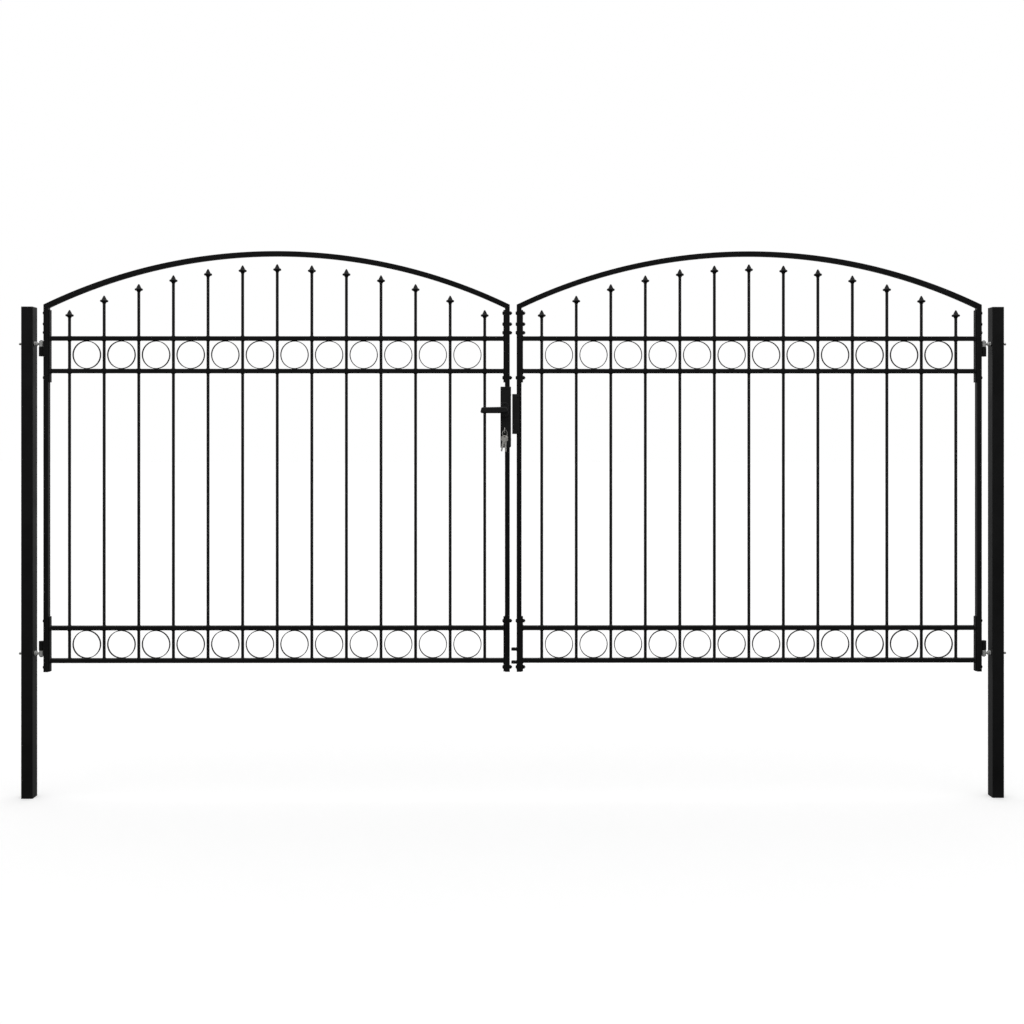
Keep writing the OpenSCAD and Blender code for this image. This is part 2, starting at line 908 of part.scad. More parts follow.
// A spare key that hangs level with the gate, at an angle along the ring from its lowest point
module spare_key(along, lean) {
    ring_r = key_ring_d / 2;
    at_key_ring()
        translate([ring_r * sin(along), 0, -ring_r * cos(along) - key_slack])
            rotate([0, 0, -key_ring_turn])
                rotate([0, lean, 0])
                    stand(key_t)
                        key_outline();
}

module spare_keys() {
    color([0.72, 0.72, 0.7]) {
        spare_key(-key_fan, front_key_lean);
        spare_key(key_fan, -back_key_lean);
    }
}

// Meeting hardware of the right leaf, drawn on the mirrored left one

module strike_box() {
    back_x = meet_x - strike_lap;
    color([0.09, 0.09, 0.09])
        difference() {
            translate([back_x, -lock_d / 2, strike_foot_z])
                cube([strike_face_x - back_x, lock_d, strike_h]);
            translate([back_x - cut, -frame_d / 2, strike_foot_z - cut])
                cube([strike_lap + cut, frame_d, strike_h + 2 * cut]);
            strike_slot(lever_z, latch_h);
            strike_slot(dead_bolt_z, dead_bolt_h);
        }
}

module strike_slot(z, height) {
    tall = height + 2 * slot_play;
    wide = bolt_t + 2 * slot_play;
    translate([strike_face_x - slot_deep, -wide / 2, z - tall / 2])
        cube([slot_deep + cut, wide, tall]);
}

module drop_bolt_guides() {
    eye_x = meet_x + guide_reach - guide_d / 2;
    color([0.07, 0.07, 0.07])
        for (z = [upper_guide_z, lower_guide_z])
            translate([0, 0, z - guide_h / 2])
                difference() {
                    union() {
                        translate([eye_x, 0, 0])
                            cylinder(d = guide_d, h = guide_h);
                        translate([meet_x, -guide_web_d / 2, 0])
                            cube([eye_x - meet_x, guide_web_d, guide_h]);
                    }
                    translate([eye_x, 0, -cut])
                        cylinder(d = guide_bore_d, h = guide_h + 2 * cut);
                }
}

on_left() post();  // left_post
on_right() post();  // right_post
on_left() post_cap();  // left_post_cap
on_right() post_cap();  // right_post_cap
on_left() eye_bolts();  // left_eye_bolts
on_right() eye_bolts();  // right_eye_bolts
on_left() hinge_nuts();  // left_hinge_nuts
on_right() hinge_nuts();  // right_hinge_nuts
on_left() hinge_stile();  // left_hinge_stile
on_left() lock_stile();  // left_lock_stile
on_left() arch();  // left_arch
on_left() frieze_rails();  // left_frieze_rails
on_left() base_rails();  // left_base_rails
on_left() bars();  // left_bars
on_left() spear_tips();  // left_spear_tips
on_left() rings(frieze_z);  // left_frieze_rings
on_left() rings(base_z);  // left_base_rings
on_left() end_plates(upper_plate_foot_z, upper_plate_top_z);  // left_upper_end_plates
on_left() end_plates(leaf_foot_z, lower_plate_top_z);  // left_lower_end_plates
on_left() hinge_barrels();  // left_hinge_barrels
on_right() hinge_stile();  // right_hinge_stile
on_right() meeting_stile();  // right_meeting_stile
on_right() arch();  // right_arch
on_right() frieze_rails();  // right_frieze_rails
on_right() base_rails();  // right_base_rails
on_right() bars();  // right_bars
on_right() spear_tips();  // right_spear_tips
on_right() rings(frieze_z);  // right_frieze_rings
on_right() rings(base_z);  // right_base_rings
on_right() end_plates(upper_plate_foot_z, upper_plate_top_z);  // right_upper_end_plates
on_right() end_plates(leaf_foot_z, lower_plate_top_z);  // right_lower_end_plates
on_right() hinge_barrels();  // right_hinge_barrels
on_left() lock_case();
on_left() lock_faceplate();
on_left() lock_bolts();
on_left() lock_cylinder();
on_left() lever_roses();
on_left() front_lever();
on_left() back_lever();
on_left() lever_spindle();
on_left() key();
on_left() key_ring();
on_left() spare_keys();
on_right() strike_box();
on_right() drop_bolt_guides();
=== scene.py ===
# Double-leaf arched steel gate on two posts, as a maker finishes it: powder coat over the welded
# leaves, bright zinc on the hinge bolts, black plastic on caps and levers, nickel on the keys.
# Metres, +Z up, front towards -Y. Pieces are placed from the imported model's own solids.

import math

import bmesh
import bpy
from mathutils import Matrix, Vector


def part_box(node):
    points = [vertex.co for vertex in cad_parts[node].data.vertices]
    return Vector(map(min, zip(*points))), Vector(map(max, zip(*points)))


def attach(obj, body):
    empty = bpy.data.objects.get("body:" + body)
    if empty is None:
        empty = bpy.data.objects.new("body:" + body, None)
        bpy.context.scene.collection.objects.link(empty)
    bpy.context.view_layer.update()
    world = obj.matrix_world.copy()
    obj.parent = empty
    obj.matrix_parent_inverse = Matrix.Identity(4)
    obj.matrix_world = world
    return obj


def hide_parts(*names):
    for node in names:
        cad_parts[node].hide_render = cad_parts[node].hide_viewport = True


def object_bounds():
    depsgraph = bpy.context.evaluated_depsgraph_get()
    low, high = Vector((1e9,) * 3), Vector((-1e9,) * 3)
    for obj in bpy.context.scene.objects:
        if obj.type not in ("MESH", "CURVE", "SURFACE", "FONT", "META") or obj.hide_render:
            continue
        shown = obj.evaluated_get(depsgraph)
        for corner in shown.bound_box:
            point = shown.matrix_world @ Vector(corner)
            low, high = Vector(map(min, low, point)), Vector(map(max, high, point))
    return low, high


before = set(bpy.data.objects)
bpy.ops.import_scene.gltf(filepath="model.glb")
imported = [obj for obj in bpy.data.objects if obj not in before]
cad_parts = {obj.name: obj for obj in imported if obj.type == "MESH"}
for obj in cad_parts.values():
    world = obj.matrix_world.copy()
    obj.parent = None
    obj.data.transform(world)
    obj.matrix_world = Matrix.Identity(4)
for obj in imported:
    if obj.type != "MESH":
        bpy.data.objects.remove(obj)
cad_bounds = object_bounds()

# Posts
# Two square steel tubes, 48 mm wide, set a quarter of their height into the ground.
# They are powder coated black: a thin satin skin with a fine orange peel, and a painted highlight
# lightens its edges.

PEEL_PER_M = 620
PATCH_PER_M = 7
EDGE_RADIUS = 0.0012


def node_in(tree, kind, **settings):
    node = tree.nodes.new(kind)
    for name, value in settings.items():
        if hasattr(node, name):
            setattr(node, name, value)
        else:
            node.inputs[name].default_value = value
    return node


def build_surface_marks():
    """A group for every finish: fine grain, broad patches, a broken mask of edges for a painted
    highlight, soft corners.
    """
    group = bpy.data.node_groups.new("surface_marks", "ShaderNodeTree")
    for name in ("Grain Scale", "Patch Scale", "Edge Radius"):
        group.interface.new_socket(name, in_out="INPUT", socket_type="NodeSocketFloat")
    for name in ("Grain", "Patches", "Edges"):
        group.interface.new_socket(name, in_out="OUTPUT", socket_type="NodeSocketFloat")
    group.interface.new_socket("Soft Normal", in_out="OUTPUT", socket_type="NodeSocketVector")
    asked = node_in(group, "NodeGroupInput")
    given = node_in(group, "NodeGroupOutput")
    place = node_in(group, "ShaderNodeTexCoord")
    join = group.links.new
    grain = node_in(group, "ShaderNodeTexNoise", Detail=3.0, Roughness=0.55)
    join(place.outputs["Object"], grain.inputs["Vector"])
    join(asked.outputs["Grain Scale"], grain.inputs["Scale"])
    join(grain.outputs["Fac"], given.inputs["Grain"])
    patch = node_in(group, "ShaderNodeTexNoise", Detail=5.0, Roughness=0.6)
    spread = node_in(group, "ShaderNodeMapRange")
    spread.inputs["From Min"].default_value = 0.34
    spread.inputs["From Max"].default_value = 0.66
    join(place.outputs["Object"], patch.inputs["Vector"])
    join(asked.outputs["Patch Scale"], patch.inputs["Scale"])
    join(patch.outputs["Fac"], spread.inputs["Value"])
    join(spread.outputs["Result"], given.inputs["Patches"])
    # The mask of the edges, broken up in patches, places the painted highlight.
    rounded = node_in(group, "ShaderNodeBevel", samples=4)
    shape = node_in(group, "ShaderNodeNewGeometry")
    turn = node_in(group, "ShaderNodeVectorMath", operation="DOT_PRODUCT")
    edge = node_in(group, "ShaderNodeMapRange")
    edge.inputs["From Min"].default_value = 0.995
    edge.inputs["From Max"].default_value = 0.8
    broken = node_in(group, "ShaderNodeMath", operation="MULTIPLY")
    join(asked.outputs["Edge Radius"], rounded.inputs["Radius"])
    join(rounded.outputs["Normal"], turn.inputs[0])
    join(rounded.outputs["Normal"], given.inputs["Soft Normal"])
    join(shape.outputs["Normal"], turn.inputs[1])
    join(turn.outputs["Value"], edge.inputs["Value"])
    join(edge.outputs["Result"], broken.inputs[0])
    join(spread.outputs["Result"], broken.inputs[1])
    join(broken.outputs["Value"], given.inputs["Edges"])
    return group


surface_marks = build_surface_marks()


def make_finish(name, colour, patch_colour, edge_highlight_colour, rough, metal, shine, grain, patch, depth):
    """A finish whose colour and gloss drift in patches, and whose edges are lightened by a painted
    highlight.
    """
    material = bpy.data.materials.new(name)
    material.use_nodes = True
    tree = material.node_tree
    shader = tree.nodes["Principled BSDF"]
    shader.inputs["Metallic"].default_value = metal
    shader.inputs["Specular IOR Level"].default_value = shine
    marks = node_in(tree, "ShaderNodeGroup", node_tree=surface_marks)
    marks.inputs["Grain Scale"].default_value = grain
    marks.inputs["Patch Scale"].default_value = patch
    marks.inputs["Edge Radius"].default_value = EDGE_RADIUS
    drift = node_in(tree, "ShaderNodeMix", data_type="RGBA")
    drift.inputs["A"].default_value = (*colour, 1)
    drift.inputs["B"].default_value = (*patch_colour, 1)
    # Towards the edges the colour is lightened: a painted highlight, broken up in patches.
    painted_edge_highlight = node_in(tree, "ShaderNodeMix", data_type="RGBA")
    painted_edge_highlight.inputs["B"].default_value = (*edge_highlight_colour, 1)
    gloss = node_in(tree, "ShaderNodeMapRange")
    gloss.inputs["To Min"].default_value = rough[0]
    gloss.inputs["To Max"].default_value = rough[1]
    bump = node_in(tree, "ShaderNodeBump", Strength=1.0, Distance=depth)
    join = tree.links.new
    join(marks.outputs["Patches"], drift.inputs["Factor"])
    join(drift.outputs["Result"], painted_edge_highlight.inputs["A"])
    join(marks.outputs["Edges"], painted_edge_highlight.inputs["Factor"])
    join(painted_edge_highlight.outputs["Result"], shader.inputs["Base Color"])
    join(marks.outputs["Patches"], gloss.inputs["Value"])
    join(gloss.outputs["Result"], shader.inputs["Roughness"])
    join(marks.outputs["Grain"], bump.inputs["Height"])
    join(marks.outputs["Soft Normal"], bump.inputs["Normal"])
    join(bump.outputs["Normal"], shader.inputs["Normal"])
    return material


powder_coat = make_finish(
    "black_powder_coat", colour=(0.007, 0.007, 0.0073), patch_colour=(0.011, 0.011, 0.0113),
    edge_highlight_colour=(0.02, 0.02, 0.0205), rough=(0.36, 0.48), metal=0.0, shine=0.32,
    grain=PEEL_PER_M, patch=PATCH_PER_M, depth=0.0001)


def dress(material, *names):
    for name in names:
        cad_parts[name].material_slots[0].material = material


dress(powder_coat, "left_post", "right_post")

# Post caps
# A moulded black plastic cap closes the top of each post. Its head is as wide as the tube, with a
# rounded rim and a low dome, and its hollow plug is pressed into the tube.

CAP_CORNER = 0.0035
CAP_RIM = 0.0014
CAP_STEP = 0.0016
CAP_DOME = 0.0006
CAP_PLUG_WALL = 0.002
CAP_PLUG_PLAY = 0.0003
CAP_HOLLOW_SHARE = 0.9
SAME_PLACE = 1e-6
ALONG_COSINE = 0.99

black_plastic = make_finish(
    "black_plastic", colour=(0.016, 0.016, 0.0165), patch_colour=(0.02, 0.02, 0.0205),
    edge_highlight_colour=(0.035, 0.035, 0.035), rough=(0.36, 0.48), metal=0.0, shine=0.45,
    grain=1400, patch=18, depth=0.00005)


def block(bm, lo, hi):
    """A plain block between two corners, for a section to bevel and cut."""
    made = bmesh.ops.create_cube(bm, size=1.0)["verts"]
    bmesh.ops.scale(bm, vec=Vector(hi) - Vector(lo), verts=made)
    bmesh.ops.translate(bm, vec=(Vector(lo) + Vector(hi)) / 2, verts=made)
    return made


def round_edges(bm, edges, offset, segments):
    bmesh.ops.bevel(bm, geom=edges, offset=offset, offset_type="OFFSET", segments=segments,
                    profile=0.5, affect="EDGES", material=-1)


def edges_along(verts, direction):
    """The edges between these points that run along a direction."""
    found = {edge for vert in verts for edge in vert.link_edges}
    runs = {edge: (edge.verts[1].co - edge.verts[0].co).normalized() for edge in found}
    return [edge for edge in found if abs(runs[edge].dot(Vector(direction))) > ALONG_COSINE]


def add_piece(name, bm, body, material, crease=32):
    """Turns a finished bmesh into a piece that rides on a body and takes a slot's finish."""
    bmesh.ops.recalc_face_normals(bm, faces=bm.faces)
    mesh = bpy.data.meshes.new(name)
    bm.to_mesh(mesh)
    bm.free()
    mesh.materials.append(material)
    mesh.shade_smooth()
    mesh.set_sharp_from_angle(angle=math.radians(crease))
    piece = bpy.data.objects.new(name, mesh)
    bpy.context.scene.collection.objects.link(piece)
    piece.modifiers.new("even_faces", "WEIGHTED_NORMAL").keep_sharp = True
    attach(piece, body)
    return piece


for side in ("left", "right"):
    lo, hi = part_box(side + "_post_cap")
    seat_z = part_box(side + "_post")[1].z
    bm = bmesh.new()
    head = block(bm, (lo.x, lo.y, seat_z), hi)
    round_edges(bm, edges_along(head, (0, 0, 1)), CAP_CORNER, segments=5)
    top_z = hi.z - SAME_PLACE
    rim = [edge for edge in bm.edges if min(vert.co.z for vert in edge.verts) > top_z]
    round_edges(bm, rim, CAP_RIM, segments=4)
    crown = max(bm.faces, key=lambda face: face.calc_center_median().z)
    bmesh.ops.inset_region(bm, faces=[crown], thickness=CAP_STEP, depth=CAP_DOME / 2)
    bmesh.ops.poke(bm, faces=[crown], offset=CAP_DOME)
    inset = Vector((1, 1, 0)) * (CAP_PLUG_WALL + CAP_PLUG_PLAY)
    plug = block(bm, lo + inset, Vector((hi.x, hi.y, seat_z)) - inset)
    round_edges(bm, edges_along(plug, (0, 0, 1)), CAP_CORNER - CAP_PLUG_WALL / 2, segments=4)
    sole = min(bm.faces, key=lambda face: face.calc_center_median().z)
    bmesh.ops.inset_region(bm, faces=[sole], thickness=CAP_PLUG_WALL)
    deep = bmesh.ops.extrude_face_region(bm, geom=[sole])["geom"]
    bmesh.ops.translate(bm, vec=(0, 0, (seat_z - lo.z) * CAP_HOLLOW_SHARE),
                        verts=[item for item in deep if isinstance(item, bmesh.types.BMVert)])
    bmesh.ops.delete(bm, geom=[sole], context="FACES")
    cap = add_piece(side + "_moulded_cap", bm, "posts", black_plastic)
    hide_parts(side + "_post_cap")

# Eye bolts
# Forged bolts of bright zinc-plated steel run through the posts, two a side. The leaf's pin turns
# in the eye, and the rolled thread takes a nut at the post and shows past its outer face.

EYE_CHAMFER = 0.0012
EYE_WALL = 0.0037
SHANK_R = 0.005
THREAD_ROOT_R = 0.0043
THREAD_PITCH = 0.0015
THREAD_STEPS = 20
THREAD_RUNOUT = 0.0007
THREAD_LAP = 0.002
THREAD_SINK_SHARE = 0.2
THREAD_HALF_SHARE = 0.46
PLAIN_NECK = 0.0125
NECK_FILLET = 0.002
NECK_FILLET_SHARES = (1.3, 1.06)
BOLT_END_CHAMFER = 0.0011
BOLT_END_PLAIN = 0.0012
EYE_STEPS = 40
POLE_MERGE = 1e-5

zinc_plate = make_finish(
    "zinc_plate", colour=(0.95, 0.95, 0.92), patch_colour=(0.84, 0.85, 0.84),
    edge_highlight_colour=(0.97, 0.97, 0.95), rough=(0.28, 0.44), metal=0.45, shine=0.5,
    grain=1100, patch=60, depth=0.00003)


def solid_boxes(name):
    """The lowest and highest corners of each separate solid of a CAD node, from left to right."""
    bm = bmesh.new()
    bm.from_mesh(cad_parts[name].data)
    bmesh.ops.remove_doubles(bm, verts=bm.verts, dist=SAME_PLACE)
    left = set(bm.verts)
    boxes = []
    while left:
        reached = {left.pop()}
        edge_of = list(reached)
        while edge_of:
            vert = edge_of.pop()
            near = {edge.other_vert(vert) for edge in vert.link_edges} & left
            left -= near
            reached |= near
            edge_of += near
        spots = [vert.co.copy() for vert in reached]
        boxes.append((Vector(map(min, *spots)), Vector(map(max, *spots))))
    bm.free()
    return sorted(boxes, key=lambda box: (round(box[0].x, 4), box[0].z))


def put_in(bm, shape):
    """Adds a finished shape to the piece that holds it."""
    mesh = bpy.data.meshes.new("shape")
    shape.to_mesh(mesh)
    shape.free()
    bm.from_mesh(mesh)
    bpy.data.meshes.remove(mesh)


def turned_shape(foot, axis, profile, steps, closed=False):
    """Spins a profile of radius and height pairs about an axis that starts at foot."""
    shape = bmesh.new()
    side = axis.orthogonal().normalized()
    verts = [shape.verts.new(foot + axis * height + side * radius) for radius, height in profile]
    edges = [shape.edges.new(pair) for pair in zip(verts, verts[1:])]
    if closed:
        edges.append(shape.edges.new((verts[-1], verts[0])))
    bmesh.ops.spin(shape, geom=verts + edges, cent=foot, axis=axis, angle=math.tau, steps=steps,
                   use_merge=True)
    bmesh.ops.remove_doubles(shape, verts=shape.verts, dist=POLE_MERGE)
    return shape


def turned(bm, foot, axis, profile, steps=32, closed=False):
    put_in(bm, turned_shape(Vector(foot), Vector(axis), profile, steps, closed))


def rolled_thread(bm, start, axis, root, crest, pitch, turns):
    """A closed ridge that winds along a bolt, sunk a little into its core."""
    shape = bmesh.new()
    side = axis.orthogonal().normalized()
    sunk = root - pitch * THREAD_SINK_SHARE
    ridge = ((sunk, -THREAD_HALF_SHARE), (crest, 0.0), (sunk, THREAD_HALF_SHARE))
    verts = [shape.verts.new(start + side * radius + axis * (share * pitch))
             for radius, share in ridge]
    edges = [shape.edges.new((verts[i], verts[i - 1])) for i in range(len(verts))]
    steps = THREAD_STEPS * turns
    bmesh.ops.spin(shape, geom=verts + edges, cent=start, axis=axis, angle=math.tau * turns,
                   steps=steps, dvec=axis * (pitch / THREAD_STEPS))
    rims = [edge for edge in shape.edges if edge.is_boundary]
    bmesh.ops.holes_fill(shape, edges=rims, sides=len(ridge))
    put_in(bm, shape)


for side, outward in (("left", -1), ("right", 1)):
    away = Vector((outward, 0, 0))
    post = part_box(side + "_post")
    post_faces = sorted((post[0].x, post[1].x), key=lambda x: x * outward)
    bm = bmesh.new()
    for lo, hi in solid_boxes(side + "_eye_bolts"):
        eye_r = (hi.y - lo.y) / 2
        eye_half = (hi.z - lo.z) / 2
        pin_x = (hi.x - eye_r) if outward < 0 else (lo.x + eye_r)
        centre = Vector((pin_x, 0, (lo.z + hi.z) / 2))
        length = (hi.x - lo.x) - eye_r
        bore = eye_r - EYE_WALL
        half_ring = [(bore, eye_half - EYE_CHAMFER), (bore + EYE_CHAMFER, eye_half),
                     (eye_r - EYE_CHAMFER, eye_half), (eye_r, eye_half - EYE_CHAMFER)]
        ring = half_ring + [(radius, -height) for radius, height in reversed(half_ring)]
        turned(bm, centre, Vector((0, 0, 1)), ring, EYE_STEPS, True)
        wall = eye_r - EYE_WALL / 2
        widest, wide = (SHANK_R * share for share in NECK_FILLET_SHARES)
        turned(bm, centre, away, [
            (0, wall), (widest, wall), (wide, eye_r + NECK_FILLET / 2),
            (SHANK_R, eye_r + NECK_FILLET), (SHANK_R, PLAIN_NECK),
            (THREAD_ROOT_R, PLAIN_NECK + THREAD_RUNOUT),
            (THREAD_ROOT_R, length - BOLT_END_CHAMFER),
            (THREAD_ROOT_R - BOLT_END_CHAMFER, length), (0, length)])
        near_face = abs(post_faces[0] - pin_x)
        far_face = abs(post_faces[1] - pin_x)
        shown = (far_face - THREAD_LAP, length - BOLT_END_PLAIN)
        for start, end in ((PLAIN_NECK, near_face), shown):
            turns = int((end - start) / THREAD_PITCH)
            rolled_thread(bm, centre + away * (end - turns * THREAD_PITCH), away,
                          THREAD_ROOT_R, SHANK_R, THREAD_PITCH, turns)
    bolts = add_piece(side + "_forged_eye_bolts", bm, "posts", zinc_plate)
    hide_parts(side + "_eye_bolts")

# Hinge nuts and washers
# A zinc-plated hexagon nut on a round washer locks each eye bolt at the post's inner face.
# The nut's corners are turned off at 30 degrees, and its thread is countersunk.

NUT_FLATS = 0.017
NUT_SIDE_CUTS = 5
NUT_CHAMFER_SLOPE = math.tan(math.radians(30))
NUT_FACE_SHARE = 0.96
COUNTERSINK_SHARE = 0.12
WASHER_T = 0.0016
WASHER_R = 0.01
WASHER_STEPS = 40


def on_circle(radius, rise):
    """A step that carries a point of the nut's rim out to a circle at a height."""
    return lambda spot: spot.to_2d().normalized().to_3d() * radius + Vector((0, 0, rise))


def hexagon_nut(bm, seat, axis, flats, height, bore):
    """A hexagon nut on a seat, its two ends chamfered by a cone and its bore countersunk."""
    turn = Vector((0, 0, 1)).rotation_difference(axis).to_matrix().to_4x4()
    shape = bmesh.new()
    corner = flats / 2 / math.cos(math.pi / 6)
    bmesh.ops.create_circle(shape, segments=6, radius=corner,
                            matrix=Matrix.Rotation(math.pi / 6, 4, "Z"))
    bmesh.ops.subdivide_edges(shape, edges=shape.edges, cuts=NUT_SIDE_CUTS)
    rim = list(shape.edges)
    face_r = flats / 2 * NUT_FACE_SHARE
    sink = bore * COUNTERSINK_SHARE
    for vert in shape.verts:
        vert.co.z = (vert.co.length - face_r) * NUT_CHAMFER_SLOPE
    steps = (
        lambda spot: Vector((spot.x, spot.y, height - spot.z)),
        on_circle(face_r, height), on_circle(bore + sink, height), on_circle(bore, height - sink),
        on_circle(bore, sink), on_circle(bore + sink, 0), on_circle(face_r, 0),
    )
    first = rim
    for step in steps:
        grown = bmesh.ops.extrude_edge_only(shape, edges=rim)["geom"]
        for item in grown:
            if isinstance(item, bmesh.types.BMVert):
                item.co = step(item.co)
        rim = [item for item in grown if isinstance(item, bmesh.types.BMEdge)]
    bmesh.ops.bridge_loops(shape, edges=first + rim)
    bmesh.ops.transform(shape, matrix=Matrix.Translation(seat) @ turn, verts=shape.verts)
    put_in(bm, shape)


def flat_washer(bm, seat, axis, bore, radius, thick):
    soft = thick / 4
    turned(bm, seat, axis, [
        (bore, 0), (radius - soft, 0), (radius, soft), (radius, thick - soft),
        (radius - soft, thick), (bore, thick)], WASHER_STEPS, True)


for side, inward in (("left", 1), ("right", -1)):
    towards = Vector((inward, 0, 0))
    bm = bmesh.new()
    for lo, hi in solid_boxes(side + "_hinge_nuts"):
        seat = Vector((lo.x if inward > 0 else hi.x, 0, (lo.z + hi.z) / 2))
        flat_washer(bm, seat, towards, SHANK_R, WASHER_R, WASHER_T)
        nut_t = hi.x - lo.x - WASHER_T
        hexagon_nut(bm, seat + towards * WASHER_T, towards, NUT_FLATS, nut_t, SHANK_R)
    nuts = add_piece(side + "_nuts_and_washers", bm, "posts", zinc_plate, crease=20)
    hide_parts(side + "_hinge_nuts")

# Hinge barrels
# A short round bar with a lighter pin on its end is welded to each hinge stile, twice.
# The upper pin points up and the lower one down, so that the leaf can't be lifted off.

BARREL_EASE = 0.0008
BARREL_LEN = 0.038
BARREL_BEAD_Y = 0.006
BARREL_BEAD_OUT = 0.0006
BARREL_BEAD_INSET = 0.002
BEAD_R = 0.0022
BEAD_SIDES = 6
BEAD_RIPPLE = 0.0016
BEAD_LEAST_RIPPLES = 3
BEAD_DIP_SHARE = 0.86
BEAD_END_SHARE = 0.45
WELD_CREASE = 60
FLAT_TURN = math.radians(1)


def eased_copy(name, width, segments=2, least_turn=35):
    """A CAD node's merged mesh with its sharp edges rounded over."""
    bm = bmesh.new()
    bm.from_mesh(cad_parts[name].data)
    bmesh.ops.remove_doubles(bm, verts=bm.verts, dist=SAME_PLACE)
    bmesh.ops.dissolve_limit(bm, angle_limit=FLAT_TURN, verts=bm.verts, edges=bm.edges)
    sharp = [edge for edge in bm.edges if edge.is_manifold
             and edge.calc_face_angle() > math.radians(least_turn)]
    round_edges(bm, sharp, width, segments)
    return bm


def weld_bead(bm, start, end, radius):
    """A straight bead of weld between two points, in ripples that taper off at both ends."""
    start = Vector(start)
    run = Vector(end) - start
    along = run.normalized()
    count = max(BEAD_LEAST_RIPPLES, round(run.length / BEAD_RIPPLE))
    turn = Vector((0, 0, 1)).rotation_difference(along).to_matrix().to_4x4()
    shape = bmesh.new()
    made = bmesh.ops.create_circle(shape, segments=BEAD_SIDES, radius=radius,
                                   matrix=Matrix.Translation(start) @ turn)["verts"]
    rim = list(shape.edges)
    rings = [made]
    for step in range(count):
        grown = bmesh.ops.extrude_edge_only(shape, edges=rim)["geom"]
        made = [item for item in grown if isinstance(item, bmesh.types.BMVert)]
        bmesh.ops.translate(shape, vec=run / count, verts=made)
        rim = [item for item in grown if isinstance(item, bmesh.types.BMEdge)]
        rings.append(made)
    for step, ring in enumerate(rings):
        at_end = step in (0, count)
        share = BEAD_END_SHARE if at_end else (1.0 if step % 2 else BEAD_DIP_SHARE)
        middle = start + run * (step / count)
        for vert in ring:
            vert.co = middle + (vert.co - middle) * share
    bmesh.ops.holes_fill(shape, edges=[edge for edge in shape.edges if edge.is_boundary], sides=0)
    put_in(bm, shape)


for side, outward in (("left", -1), ("right", 1)):
    body = side + "_leaf"
    bm = eased_copy(side + "_hinge_barrels", BARREL_EASE)
    barrels = add_piece(side + "_eased_barrels", bm, body, powder_coat)
    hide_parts(side + "_hinge_barrels")
    bm = bmesh.new()
    for lo, hi in solid_boxes(side + "_hinge_barrels"):
        stile_x = hi.x if outward < 0 else lo.x
        upper = (lo.z + hi.z) / 2 > cad_bounds[1].z / 2
        foot = lo.z if upper else hi.z - BARREL_LEN
        x = stile_x + outward * BARREL_BEAD_OUT
        for y in (-BARREL_BEAD_Y, BARREL_BEAD_Y):
            weld_bead(bm, (x, y, foot + BARREL_BEAD_INSET),
                      (x, y, foot + BARREL_LEN - BARREL_BEAD_INSET), BEAD_R)
    add_piece(side + "_barrel_welds", bm, body, powder_coat, WELD_CREASE)

# Leaf frames
# Each leaf has two stiles of 20 by 25 mm tube, mitred and welded to an arch rolled from the same
# tube. Thin plastic plugs close the stiles at the foot.

FOOT_PLUG_T = 0.0012
FOOT_PLUG_EDGE = 0.0008
FOOT_PLUG_CORNER = 0.0025
MITRE_BEAD_R = 0.0012
MITRE_BEAD_SPAN = (0.08, 0.95)
ARCH_CORNER = 0.002
ARCH_STEPS = 120
ARCH_OVERRUN = 1.03
ARCH_STUB = 0.05

